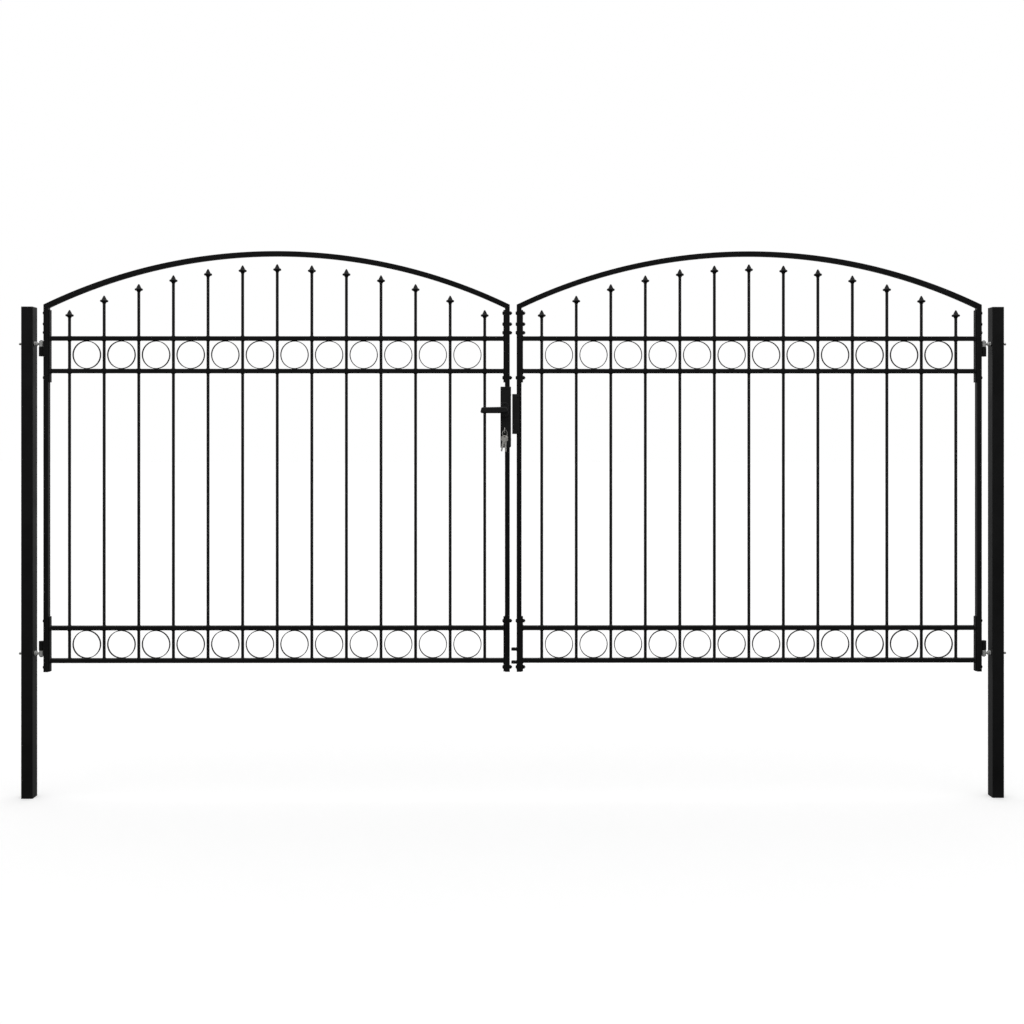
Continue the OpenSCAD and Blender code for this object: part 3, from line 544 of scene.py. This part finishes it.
for side in ("left", "right"):
    body = side + "_leaf"
    inner = "left_lock_stile" if side == "left" else "right_meeting_stile"
    stiles = (side + "_hinge_stile", inner)
    dress(powder_coat, *stiles)
    bm = bmesh.new()
    for name in stiles:
        lo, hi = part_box(name)
        plug = block(bm, (lo.x, lo.y, lo.z - FOOT_PLUG_T), (hi.x, hi.y, lo.z))
        round_edges(bm, edges_along(plug, (0, 0, 1)), FOOT_PLUG_CORNER, segments=4)
        foot_z = lo.z - FOOT_PLUG_T + SAME_PLACE
        rim = [edge for edge in bm.edges if max(vert.co.z for vert in edge.verts) < foot_z]
        round_edges(bm, rim, FOOT_PLUG_EDGE, segments=3)
    add_piece(side + "_stile_plugs", bm, body, black_plastic)
    arch_lo, arch_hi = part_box(side + "_arch")
    stile_lo, stile_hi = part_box(stiles[0])
    half = (arch_hi.x - arch_lo.x) / 2
    rise = arch_hi.z - stile_hi.z
    radius = (half ** 2 + rise ** 2) / (2 * rise)
    centre = Vector(((arch_lo.x + arch_hi.x) / 2, 0, arch_hi.z - radius))
    reach = math.asin(half / radius) * ARCH_OVERRUN
    arch = bmesh.new()
    tube = block(arch, (centre.x - ARCH_STUB, arch_lo.y, arch_hi.z - (stile_hi.x - stile_lo.x)),
                 (centre.x, arch_hi.y, arch_hi.z))
    round_edges(arch, edges_along(tube, (1, 0, 0)), ARCH_CORNER, segments=4)
    bmesh.ops.bisect_plane(arch, geom=arch.verts[:] + arch.edges[:] + arch.faces[:],
                           plane_co=centre, plane_no=(1, 0, 0))
    stub = [vert for vert in arch.verts if vert.co.x <= centre.x - SAME_PLACE]
    bmesh.ops.delete(arch, geom=stub, context="VERTS")
    bmesh.ops.delete(arch, geom=arch.faces[:], context="FACES_ONLY")
    bmesh.ops.rotate(arch, cent=centre, matrix=Matrix.Rotation(-reach, 3, "Y"), verts=arch.verts)
    bmesh.ops.spin(arch, geom=arch.verts[:] + arch.edges[:], cent=centre, axis=(0, 1, 0),
                   angle=2 * reach, steps=ARCH_STEPS)
    mitres = bmesh.new()
    for name in stiles:
        lo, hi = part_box(name)
        on_left = lo.x < centre.x
        out_x, in_x = (lo.x, hi.x) if on_left else (hi.x, lo.x)
        outer = Vector((out_x, 0, hi.z))
        inner = Vector((in_x, 0, arch_lo.z))
        beyond = (inner - outer).cross(Vector((0, 1, 0))).normalized()
        beyond = beyond if beyond.z < 0 else -beyond
        bmesh.ops.bisect_plane(arch, geom=arch.verts[:] + arch.edges[:] + arch.faces[:],
                               plane_co=outer, plane_no=beyond, clear_outer=True)
        for y in (lo.y, hi.y):
            ends = [outer.lerp(inner, share) + Vector((0, y, 0)) for share in MITRE_BEAD_SPAN]
            weld_bead(mitres, *ends, MITRE_BEAD_R)
    bmesh.ops.holes_fill(arch, edges=[edge for edge in arch.edges if edge.is_boundary], sides=0)
    rolled = add_piece(side + "_rolled_arch", arch, body, powder_coat)
    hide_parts(side + "_arch")
    add_piece(side + "_mitre_welds", mitres, body, powder_coat, WELD_CREASE)

# Rails
# Four rails of 18 by 20 mm tube cross each leaf in two pairs, and their ends are welded all round
# to the end plates. The upper three are drilled for the bars.

RAIL_BEAD_R = 0.0023
RAIL_BEAD_INSET = 0.001

for side in ("left", "right"):
    names = (side + "_frieze_rails", side + "_base_rails")
    dress(powder_coat, *names)
    bm = bmesh.new()
    for name in names:
        for lo, hi in solid_boxes(name):
            for x in (lo.x, hi.x):
                for y in (lo.y, hi.y):
                    weld_bead(bm, (x, y, lo.z + RAIL_BEAD_INSET),
                              (x, y, hi.z - RAIL_BEAD_INSET), RAIL_BEAD_R)
                for z in (lo.z, hi.z):
                    weld_bead(bm, (x, lo.y + RAIL_BEAD_INSET, z),
                              (x, hi.y - RAIL_BEAD_INSET, z), RAIL_BEAD_R)
    add_piece(side + "_rail_welds", bm, side + "_leaf", powder_coat,
              WELD_CREASE)

# Bars
# Thirteen round bars, 12 mm thick, stand in each leaf on the lowest rail and pass through the
# other three. A ring of weld holds each bar above and below every rail.

BAR_BEAD_R = 0.0029
BAR_BEAD_SIDES = 5
BAR_BEAD_STEPS = 14


def weld_ring(bm, centre, radius, bead):
    """A level ring of weld round an upright bar."""
    shape = bmesh.new()
    aside = Matrix.Translation(centre + Vector((radius, 0, 0)))
    bmesh.ops.create_circle(shape, segments=BAR_BEAD_SIDES, radius=bead,
                            matrix=aside @ Matrix.Rotation(math.pi / 2, 4, "X"))
    bmesh.ops.spin(shape, geom=shape.verts[:] + shape.edges[:], cent=centre, axis=(0, 0, 1),
                   angle=math.tau, steps=BAR_BEAD_STEPS, use_merge=True)
    put_in(bm, shape)


for side in ("left", "right"):
    dress(powder_coat, side + "_bars")
    rails = solid_boxes(side + "_frieze_rails") + solid_boxes(side + "_base_rails")
    faces = sorted({round(z, 5) for lo, hi in rails for z in (lo.z, hi.z)})[1:]
    bm = bmesh.new()
    for lo, hi in solid_boxes(side + "_bars"):
        for z in faces:
            weld_ring(bm, Vector(((lo.x + hi.x) / 2, 0, z)), (hi.x - lo.x) / 2, BAR_BEAD_R)
    add_piece(side + "_bar_welds", bm, side + "_leaf", powder_coat,
              WELD_CREASE)

# Spear tips
# A pressed steel point closes the top of each bar: a round collar below a slim cone with a blunt
# end. The tips follow the arch.

TIP_PROFILE = (
    (0, 0), (6.0, 0), (6.7, 1.4), (7.9, 3.7), (9.2, 5.7), (10.4, 6.7), (11.8, 7.0), (13.4, 7.2),
    (15.0, 8.1), (16.1, 9.6), (16.5, 11.5), (16.1, 13.4), (15.0, 14.9), (13.4, 15.8), (11.8, 16.0),
    (10.7, 16.4), (10.0, 17.4), (9.0, 19.8), (7.4, 23.4), (5.8, 26.8), (4.2, 29.8), (2.9, 32.2),
    (2.0, 33.4), (1.0, 33.9), (0, 34.0),
)
TIP_STEPS = 24


def in_metres(profile):
    """A profile of radius and height pairs, from millimetres."""
    return [(radius / 1000, height / 1000) for radius, height in profile]


for side in ("left", "right"):
    bm = bmesh.new()
    for lo, hi in solid_boxes(side + "_spear_tips"):
        foot = Vector(((lo.x + hi.x) / 2, 0, lo.z))
        turned(bm, foot, (0, 0, 1), in_metres(TIP_PROFILE), TIP_STEPS)
    tips = add_piece(side + "_pressed_tips", bm, side + "_leaf", powder_coat)
    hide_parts(side + "_spear_tips")

# Rings
# Twelve rings rolled from 3 by 10 mm strip with eased edges stand between the rails of each pair.
# Each is tacked to the rail above it and to the rail below it, on both sides of the touch.

STRIP_T = 0.003
STRIP_EASE = 0.0006
RING_STEPS = 96
TACK_R = 0.0024
TACK_SIDE = 0.008
TACK_INSET = 0.001

for side in ("left", "right"):
    tacks = bmesh.new()
    for band in ("frieze", "base"):
        name = f"{side}_{band}_rings"
        bm = bmesh.new()
        for lo, hi in solid_boxes(name):
            middle = (lo + hi) / 2
            outer = (hi.x - lo.x) / 2
            inner = outer - STRIP_T
            half = (hi.y - lo.y) / 2
            strip = [(inner, half - STRIP_EASE), (inner + STRIP_EASE, half),
                     (outer - STRIP_EASE, half), (outer, half - STRIP_EASE)]
            strip += [(radius, -height) for radius, height in reversed(strip)]
            turned(bm, middle, (0, 1, 0), strip, RING_STEPS, True)
            for z in (lo.z, hi.z):
                for x in (middle.x - TACK_SIDE, middle.x + TACK_SIDE):
                    weld_bead(tacks, (x, lo.y + TACK_INSET, z), (x, hi.y - TACK_INSET, z), TACK_R)
        rings = add_piece(f"{side}_{band}_rolled_rings", bm, side + "_leaf",
                          powder_coat)
        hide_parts(name)
    add_piece(side + "_ring_tacks", tacks, side + "_leaf", powder_coat,
              WELD_CREASE)

# End plates and their bolts
# Flat plates on the stiles carry the rails. At the meeting stiles each bolt has a round head on
# one side and a hexagon nut on the other; at the hinge stiles only a round head stands out.

PLATE_EASE = 0.0007
BOLT_HEIGHTS = {"upper": (1.976, 1.931, 1.896, 1.712), "lower": (0.719, 0.53)}
BOLT_R = 0.004
BOLT_NUT_FLATS = 0.013
BOLT_NUT_T = 0.0065
BOLT_END = 0.0032
BOLT_CHAMFER = 0.001
BOLT_WASHER_T = 0.0009
HEAD_R = 0.0075
HEAD_T = 0.0045
HINGE_HEAD_T = 0.0058
HEAD_SINK = 0.001
HEAD_DOME = ((1.0, 0.28), (0.93, 0.56), (0.76, 0.82), (0.52, 0.97))
SOCKET_SHARE = 0.37
SOCKET_DEEP_SHARE = 0.8
SOCKET_RIM_SHARE = 1.1
SOCKET_BEVEL_SHARE = 0.2
SOCKET_WALL_SPAN = (0.5, 1.05)


def round_head(bm, seat, axis, radius, height):
    """A domed bolt head with a six-sided socket."""
    socket = radius * SOCKET_SHARE
    deep = min(height, socket) * SOCKET_DEEP_SHARE
    bevel = deep * SOCKET_BEVEL_SHARE
    shape = turned_shape(seat, axis, [
        (0, -HEAD_SINK), (radius, -HEAD_SINK),
        *((radius * out, height * up) for out, up in HEAD_DOME),
        (socket * SOCKET_RIM_SHARE, height), (socket, height - bevel), (socket, height - deep),
        (0, height - deep - bevel)], steps=24)
    side = axis.orthogonal().normalized()
    for vert in shape.verts:
        rise = (vert.co - seat).dot(axis)
        arm = vert.co - seat - axis * rise
        if SOCKET_WALL_SPAN[0] < arm.length / socket < SOCKET_WALL_SPAN[1]:
            bearing = math.atan2(arm.dot(axis.cross(side)), arm.dot(side))
            slant = (bearing % (math.pi / 3)) - math.pi / 6
            vert.co = seat + axis * rise + arm * (math.cos(math.pi / 6) / math.cos(slant))
    put_in(bm, shape)


for side in ("left", "right"):
    body = side + "_leaf"
    inner = "left_lock_stile" if side == "left" else "right_meeting_stile"
    meet_lo, meet_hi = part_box(inner)
    hinge_lo, hinge_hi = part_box(side + "_hinge_stile")
    outer_x = hinge_lo.x if side == "left" else hinge_hi.x
    right = Vector((1, 0, 0))
    outward = -right if side == "left" else right
    bolt_end = BOLT_NUT_T + BOLT_END
    bolts = bmesh.new()
    for band, heights in BOLT_HEIGHTS.items():
        name = f"{side}_{band}_end_plates"
        bm = eased_copy(name, PLATE_EASE)
        plates = add_piece(f"{side}_{band}_eased_plates", bm, body,
                           powder_coat)
        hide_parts(name)
        boxes = solid_boxes(name)
        meeting = boxes[-1] if side == "left" else boxes[0]
        head_x = min(meeting[0].x, meet_lo.x)
        nut_x = max(meeting[1].x, meet_hi.x)
        for z in heights:
            round_head(bolts, Vector((head_x, 0, z)), -right, HEAD_R, HEAD_T)
            seat = Vector((nut_x, 0, z))
            flat_washer(bolts, seat, right, BOLT_R, HEAD_R, BOLT_WASHER_T)
            hexagon_nut(bolts, seat, right, BOLT_NUT_FLATS, BOLT_NUT_T, BOLT_R)
            turned(bolts, seat, right, [
                (0, 0), (BOLT_R, 0), (BOLT_R, bolt_end - BOLT_CHAMFER),
                (BOLT_R - BOLT_CHAMFER, bolt_end), (0, bolt_end)], steps=20)
            round_head(bolts, Vector((outer_x, 0, z)), outward, HEAD_R, HINGE_HEAD_T)
    add_piece(side + "_plate_bolts", bolts, body, powder_coat, crease=25)

# Lock case
# A black steel box over a break in the left leaf's meeting stile, with a zinc-plated faceplate
# let into its edge. Two screws hold the faceplate, and two more hold each side of the case.

CASE_EASE = 0.001
FACEPLATE_EASE = 0.0004
SCREW_R = 0.0036
SCREW_T = 0.0012
PLATE_SCREW_INSET = 0.011
CASE_SCREW_INSET = 0.008

lock_paint = make_finish(
    "lock_paint", colour=(0.017, 0.017, 0.0175), patch_colour=(0.022, 0.022, 0.0225),
    edge_highlight_colour=(0.03, 0.03, 0.031), rough=(0.34, 0.44), metal=0.0, shine=0.42,
    grain=520, patch=12, depth=0.00009)

bm = eased_copy("lock_case", CASE_EASE, segments=3)
case = add_piece("eased_lock_case", bm, "left_leaf", lock_paint)
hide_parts("lock_case")
bm = eased_copy("lock_faceplate", FACEPLATE_EASE)
plate = add_piece("eased_faceplate", bm, "left_leaf", zinc_plate)
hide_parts("lock_faceplate")
dress(zinc_plate, "lock_bolts")
case_lo, case_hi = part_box("lock_case")
plate_lo, plate_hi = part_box("lock_faceplate")
stile_lo, stile_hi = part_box("left_lock_stile")
bm = bmesh.new()
for z in (plate_lo.z + PLATE_SCREW_INSET, plate_hi.z - PLATE_SCREW_INSET):
    round_head(bm, Vector((plate_hi.x, 0, z)), Vector((1, 0, 0)), SCREW_R, SCREW_T / 2)
add_piece("faceplate_screws", bm, "left_leaf", zinc_plate)
bm = bmesh.new()
screw_x = (stile_lo.x + stile_hi.x) / 2
for y, face in ((case_lo.y, -1), (case_hi.y, 1)):
    for z in (case_lo.z + CASE_SCREW_INSET, case_hi.z - CASE_SCREW_INSET):
        round_head(bm, Vector((screw_x, y, z)), Vector((0, face, 0)), SCREW_R, SCREW_T)
add_piece("case_screws", bm, "left_leaf", powder_coat)

# Levers and roses
# A straight lever of black plastic over metal on each side of the lock turns with the square
# spindle. Each stands out on a round neck from a round-ended rose that two screws hold.

ROSE_EASE = 0.0022
ROSE_SCREW_DROP = 0.024
GRIP_T = 0.012
GRIP_ROOT = 0.024
GRIP_TIP = 0.022
GRIP_LEAN = 0.005
GRIP_EASE = 0.0036
GRIP_END_R = 0.0105
GRIP_TIP_R = 0.0048
NECK_R = 0.0085
NECK_EASE = 0.0004
NECK_FLARE = ((0, -0.004), (0.0004, -0.0015), (0.0012, 0.0008))

bm = eased_copy("lever_roses", ROSE_EASE, segments=4)
roses = add_piece("eased_roses", bm, "left_leaf", black_plastic)
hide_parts("lever_roses")
dress(zinc_plate, "lever_spindle")
spindle_lo, spindle_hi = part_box("lever_spindle")
axis_x = (spindle_lo.x + spindle_hi.x) / 2
axis_z = (spindle_lo.z + spindle_hi.z) / 2
rose_lo, rose_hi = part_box("lever_roses")
bm = bmesh.new()
for y, face in ((rose_lo.y, -1), (rose_hi.y, 1)):
    for z in (axis_z - ROSE_SCREW_DROP, axis_z + ROSE_SCREW_DROP):
        round_head(bm, Vector((axis_x, y, z)), Vector((0, face, 0)), SCREW_R, SCREW_T)
add_piece("rose_screws", bm, "left_leaf", powder_coat)

for name, face in (("front_lever", -1), ("back_lever", 1)):
    lo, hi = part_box(name)
    outer_y = lo.y if face < 0 else hi.y
    neck_y = hi.y if face < 0 else lo.y
    inner_y = outer_y - face * GRIP_T
    y_lo, y_hi = sorted((outer_y, inner_y))
    bm = bmesh.new()
    grip_foot = axis_z - GRIP_ROOT / 2
    grip = block(bm, (lo.x, y_lo, grip_foot), (hi.x, y_hi, axis_z + GRIP_ROOT / 2))
    for vert in grip:
        if vert.co.x < axis_x - GRIP_ROOT and vert.co.z > axis_z:
            vert.co.z = grip_foot + GRIP_TIP
            vert.co.x += GRIP_LEAN
    ends = edges_along(grip, (0, 1, 0))
    root_ends = [edge for edge in ends if edge.verts[0].co.x > axis_x]
    tip_ends = [edge for edge in ends if edge not in root_ends]
    round_edges(bm, root_ends, GRIP_END_R, segments=8)
    round_edges(bm, [edge for edge in tip_ends if edge.is_valid], GRIP_TIP_R, segments=6)
    outline = [edge for edge in bm.edges
               if abs(edge.verts[0].co.y - edge.verts[1].co.y) < SAME_PLACE]
    round_edges(bm, outline, GRIP_EASE, segments=5)
    reach = abs(inner_y - neck_y)
    turned(bm, (axis_x, neck_y, axis_z), Vector((0, face, 0)), [
        (0, 0), (NECK_R - NECK_EASE, 0), (NECK_R, NECK_EASE),
        *((NECK_R + wider, reach + past) for wider, past in NECK_FLARE),
        (NECK_R, reach + GRIP_T / 2), (0, reach + GRIP_T / 2)], steps=40)
    lever = add_piece(name.replace("_lever", "_handle"), bm, "lever",
                      black_plastic, crease=40)
    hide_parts(name)

# Cylinder and keys
# A black profile cylinder with a turned plug stands a little proud of the case under the lever.
# A cam fills its slot inside the case. The nickel-plated key in it carries a split ring of
# spring wire with two spare keys.

CYLINDER_EASE = 0.0005
KEY_EASE = 0.00035
CORE_PROFILE = (
    (0, -1), (6.2, -1), (6.2, 0), (5.9, 0.35), (5.4, 0.5), (3.41, 0.5), (3.1, 0.1), (0, 0.1),
)
CAM_LAP = 0.0015
CAM_T = 0.004
CAM_EASE = 0.0004
CAM_TAIL_SHARE = 0.8
RING_WIRE_R = 0.00048
RING_TURN = math.radians(45)
WIRE_SIDES = 8
COIL_STEPS = 48
COIL_TURNS = 2
COIL_PITCH_SHARE = 2.05

nickel_plate = make_finish(
    "nickel_plate", colour=(0.97, 0.95, 0.9), patch_colour=(0.9, 0.875, 0.82),
    edge_highlight_colour=(0.98, 0.96, 0.93), rough=(0.28, 0.42), metal=0.4, shine=0.5,
    grain=1600, patch=90, depth=0.00002)

bm = eased_copy("lock_cylinder", CYLINDER_EASE)
cylinder = add_piece("eased_cylinder", bm, "left_leaf", lock_paint)
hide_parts("lock_cylinder")
cylinder_lo, cylinder_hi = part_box("lock_cylinder")
key_z = cylinder_hi.z - (cylinder_hi.x - cylinder_lo.x) / 2
bm = bmesh.new()
for y, face in ((cylinder_lo.y, -1), (cylinder_hi.y, 1)):
    turned(bm, (axis_x, y, key_z), Vector((0, face, 0)), in_metres(CORE_PROFILE), steps=40)
add_piece("cylinder_plugs", bm, "left_leaf", lock_paint)
cam_r = (cylinder_hi.x - cylinder_lo.x) / 2 + CAM_LAP
bm = bmesh.new()
turned(bm, (axis_x, -CAM_T / 2, key_z), (0, 1, 0), [
    (0, 0), (cam_r - CAM_EASE, 0), (cam_r, CAM_EASE), (cam_r, CAM_T - CAM_EASE),
    (cam_r - CAM_EASE, CAM_T), (0, CAM_T)], steps=40)
tail_half = cam_r * CAM_TAIL_SHARE
tail = block(bm, (axis_x - tail_half, -CAM_T / 2, cylinder_lo.z - CAM_LAP),
             (axis_x + tail_half, CAM_T / 2, key_z))
round_edges(bm, edges_along(tail, (0, 1, 0)), CAM_LAP, segments=3)
add_piece("cylinder_cam", bm, "left_leaf", lock_paint)
for name in ("key", "spare_keys"):
    bm = eased_copy(name, KEY_EASE)
    keys = add_piece("eased_" + name, bm, "left_leaf", nickel_plate)
    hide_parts(name)
lo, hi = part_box("key_ring")
middle = (lo + hi) / 2
ring_axis = Vector((math.sin(RING_TURN), -math.cos(RING_TURN), 0))
coil_r = (hi.z - lo.z) / 2 - RING_WIRE_R
start = middle - ring_axis * RING_WIRE_R
bm = bmesh.new()
up = Vector((0, 0, 1))
face_on = up.rotation_difference(ring_axis.cross(up)).to_matrix().to_4x4()
on_coil = Matrix.Translation(start + up * coil_r) @ face_on
verts = bmesh.ops.create_circle(bm, segments=WIRE_SIDES, radius=RING_WIRE_R,
                                matrix=on_coil)["verts"]
edges = list({edge for vert in verts for edge in vert.link_edges})
bmesh.ops.spin(bm, geom=verts + edges, cent=start, axis=ring_axis, angle=math.tau * COIL_TURNS,
               steps=COIL_STEPS * COIL_TURNS,
               dvec=ring_axis * (RING_WIRE_R * COIL_PITCH_SHARE / COIL_STEPS))
bmesh.ops.holes_fill(bm, edges=[edge for edge in bm.edges if edge.is_boundary], sides=WIRE_SIDES)
coil = add_piece("split_ring", bm, "left_leaf", nickel_plate, crease=60)
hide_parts("key_ring")

# Strike box
# A black steel channel on the right leaf's meeting stile, with two slots for the lock's bolts.
# It laps the stile and two screws hold it on each side.

STRIKE_SCREW_INSET = 0.012
STRIKE_SCREW_EDGE = 0.006

bm = eased_copy("strike_box", CASE_EASE, segments=3)
strike = add_piece("eased_strike_box", bm, "right_leaf", lock_paint)
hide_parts("strike_box")
strike_lo, strike_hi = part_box("strike_box")
bm = bmesh.new()
for y, face in ((strike_lo.y, -1), (strike_hi.y, 1)):
    for z in (strike_lo.z + STRIKE_SCREW_INSET, strike_hi.z - STRIKE_SCREW_INSET):
        seat = Vector((strike_hi.x - STRIKE_SCREW_EDGE, y, z))
        round_head(bm, seat, Vector((0, face, 0)), SCREW_R, SCREW_T)
add_piece("strike_screws", bm, "right_leaf", powder_coat)

# Drop-bolt guides
# Two short eyes are welded to the right leaf's meeting stile, one above the other, to guide a
# drop rod. They are powder coated with the leaf.

GUIDE_EASE = 0.0006
GUIDE_BEAD_Y = 0.007
GUIDE_BEAD_REACH = 0.006
GUIDE_BEAD_INSET = 0.001

bm = eased_copy("drop_bolt_guides", GUIDE_EASE)
guides = add_piece("eased_guides", bm, "right_leaf", powder_coat)
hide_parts("drop_bolt_guides")
bm = bmesh.new()
for lo, hi in solid_boxes("drop_bolt_guides"):
    for y in (-GUIDE_BEAD_Y, GUIDE_BEAD_Y):
        weld_bead(bm, (hi.x, y, lo.z + GUIDE_BEAD_INSET),
                  (hi.x, y, hi.z - GUIDE_BEAD_INSET), BEAD_R)
    for z in (lo.z, hi.z):
        weld_bead(bm, (hi.x, -GUIDE_BEAD_REACH, z), (hi.x, GUIDE_BEAD_REACH, z), BEAD_R)
add_piece("guide_welds", bm, "right_leaf", powder_coat, WELD_CREASE)

# Studio
# A pale lit floor and a white sweep behind, with a darker room in front, as for a cut-out.
# The camera stands level in front of the gate's middle, as the photograph was taken.

FLOOR_HALF = 60.0
FLOOR_GREY = (0.8, 0.8, 0.8, 1)
FLOOR_ROUGH = 0.9
FLOOR_GLOW = 0.33
WHITE = (1, 1, 1, 1)
ROOM_FRONT = 0.14
ROOM_BACK = 0.42
ROOM_SIDES = 0.6
ROOM_TOP = 0.8
ROOM_BELOW_SHARE = 0.2
BACK_SPAN = (-1.0, 1.0)
SIDE_SPAN = (0.5, 0.95)
TOP_SPAN = (0.3, 0.8)
BELOW_SPAN = (-0.45, 0.12)
CAMERA_DISTANCE = 4.657
CAMERA_HEIGHT = 1.473
CAMERA_ASIDE = -0.020
CAMERA_YAW = math.radians(-0.185)
FRAME_PX = 1024
FOCAL_PX = 1139.2
HORIZON_PX = 436.2
SENSOR_MM = 36.0

floor_mesh = bpy.data.meshes.new("floor")
bm = bmesh.new()
bmesh.ops.create_grid(bm, x_segments=1, y_segments=1, size=FLOOR_HALF)
bm.to_mesh(floor_mesh)
bm.free()
floor = bpy.data.objects.new("floor", floor_mesh)
floor_paint = bpy.data.materials.new("pale_floor")
floor_paint.use_nodes = True
paint = floor_paint.node_tree.nodes["Principled BSDF"]
paint.inputs["Base Color"].default_value = FLOOR_GREY
paint.inputs["Roughness"].default_value = FLOOR_ROUGH
paint.inputs["Emission Color"].default_value = WHITE
paint.inputs["Emission Strength"].default_value = FLOOR_GLOW
floor_mesh.materials.append(floor_paint)
bpy.context.scene.collection.objects.link(floor)
floor.visible_glossy = False
floor.visible_diffuse = False

world = bpy.data.worlds.new("studio")
world.use_nodes = True
bpy.context.scene.world = world
tree = world.node_tree
tree.nodes.clear()
out = node_in(tree, "ShaderNodeOutputWorld")
seen = node_in(tree, "ShaderNodeBackground", Color=WHITE, Strength=1.0)
room = node_in(tree, "ShaderNodeBackground", Color=WHITE)
path = node_in(tree, "ShaderNodeLightPath")
pick = node_in(tree, "ShaderNodeMixShader")
place = node_in(tree, "ShaderNodeTexCoord")
parts = node_in(tree, "ShaderNodeSeparateXYZ")
join = tree.links.new
join(place.outputs["Generated"], parts.inputs["Vector"])


def glow(value, span, dim, bright):
    """A ramp of brightness over one direction of the room."""
    ramp = node_in(tree, "ShaderNodeMapRange", interpolation_type="SMOOTHSTEP")
    ramp.inputs["From Min"].default_value = span[0]
    ramp.inputs["From Max"].default_value = span[1]
    ramp.inputs["To Min"].default_value = dim
    ramp.inputs["To Max"].default_value = bright
    join(value, ramp.inputs["Value"])
    return ramp.outputs["Result"]


def combined(operation, first, second):
    step = node_in(tree, "ShaderNodeMath", operation=operation)
    join(first, step.inputs[0])
    join(second, step.inputs[1])
    return step.outputs["Value"]


aside = node_in(tree, "ShaderNodeMath", operation="ABSOLUTE")
join(parts.outputs["X"], aside.inputs[0])
front_to_back = glow(parts.outputs["Y"], BACK_SPAN, ROOM_FRONT, ROOM_BACK)
sides = glow(aside.outputs["Value"], SIDE_SPAN, 0.0, ROOM_SIDES)
overhead = glow(parts.outputs["Z"], TOP_SPAN, 0.0, ROOM_TOP)
below = glow(parts.outputs["Z"], BELOW_SPAN, ROOM_BELOW_SHARE, 1.0)
around = combined("ADD", front_to_back, combined("MAXIMUM", sides, overhead))
join(combined("MULTIPLY", around, below), room.inputs["Strength"])
join(path.outputs["Is Camera Ray"], pick.inputs["Fac"])
join(room.outputs["Background"], pick.inputs[1])
join(seen.outputs["Background"], pick.inputs[2])
join(pick.outputs["Shader"], out.inputs["Surface"])

bpy.context.scene.view_settings.view_transform = "Standard"
lens = bpy.data.cameras.new("camera")
lens.sensor_width = SENSOR_MM
lens.lens = SENSOR_MM * FOCAL_PX / FRAME_PX
lens.shift_y = (HORIZON_PX - FRAME_PX / 2) / FRAME_PX
camera = bpy.data.objects.new("camera", lens)
gate_mid = (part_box("left_post")[0].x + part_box("right_post")[1].x) / 2
camera.location = (gate_mid + CAMERA_ASIDE, -CAMERA_DISTANCE, CAMERA_HEIGHT)
camera.rotation_euler = (math.pi / 2, 0, CAMERA_YAW)
bpy.context.scene.collection.objects.link(camera)
bpy.context.scene.camera = camera
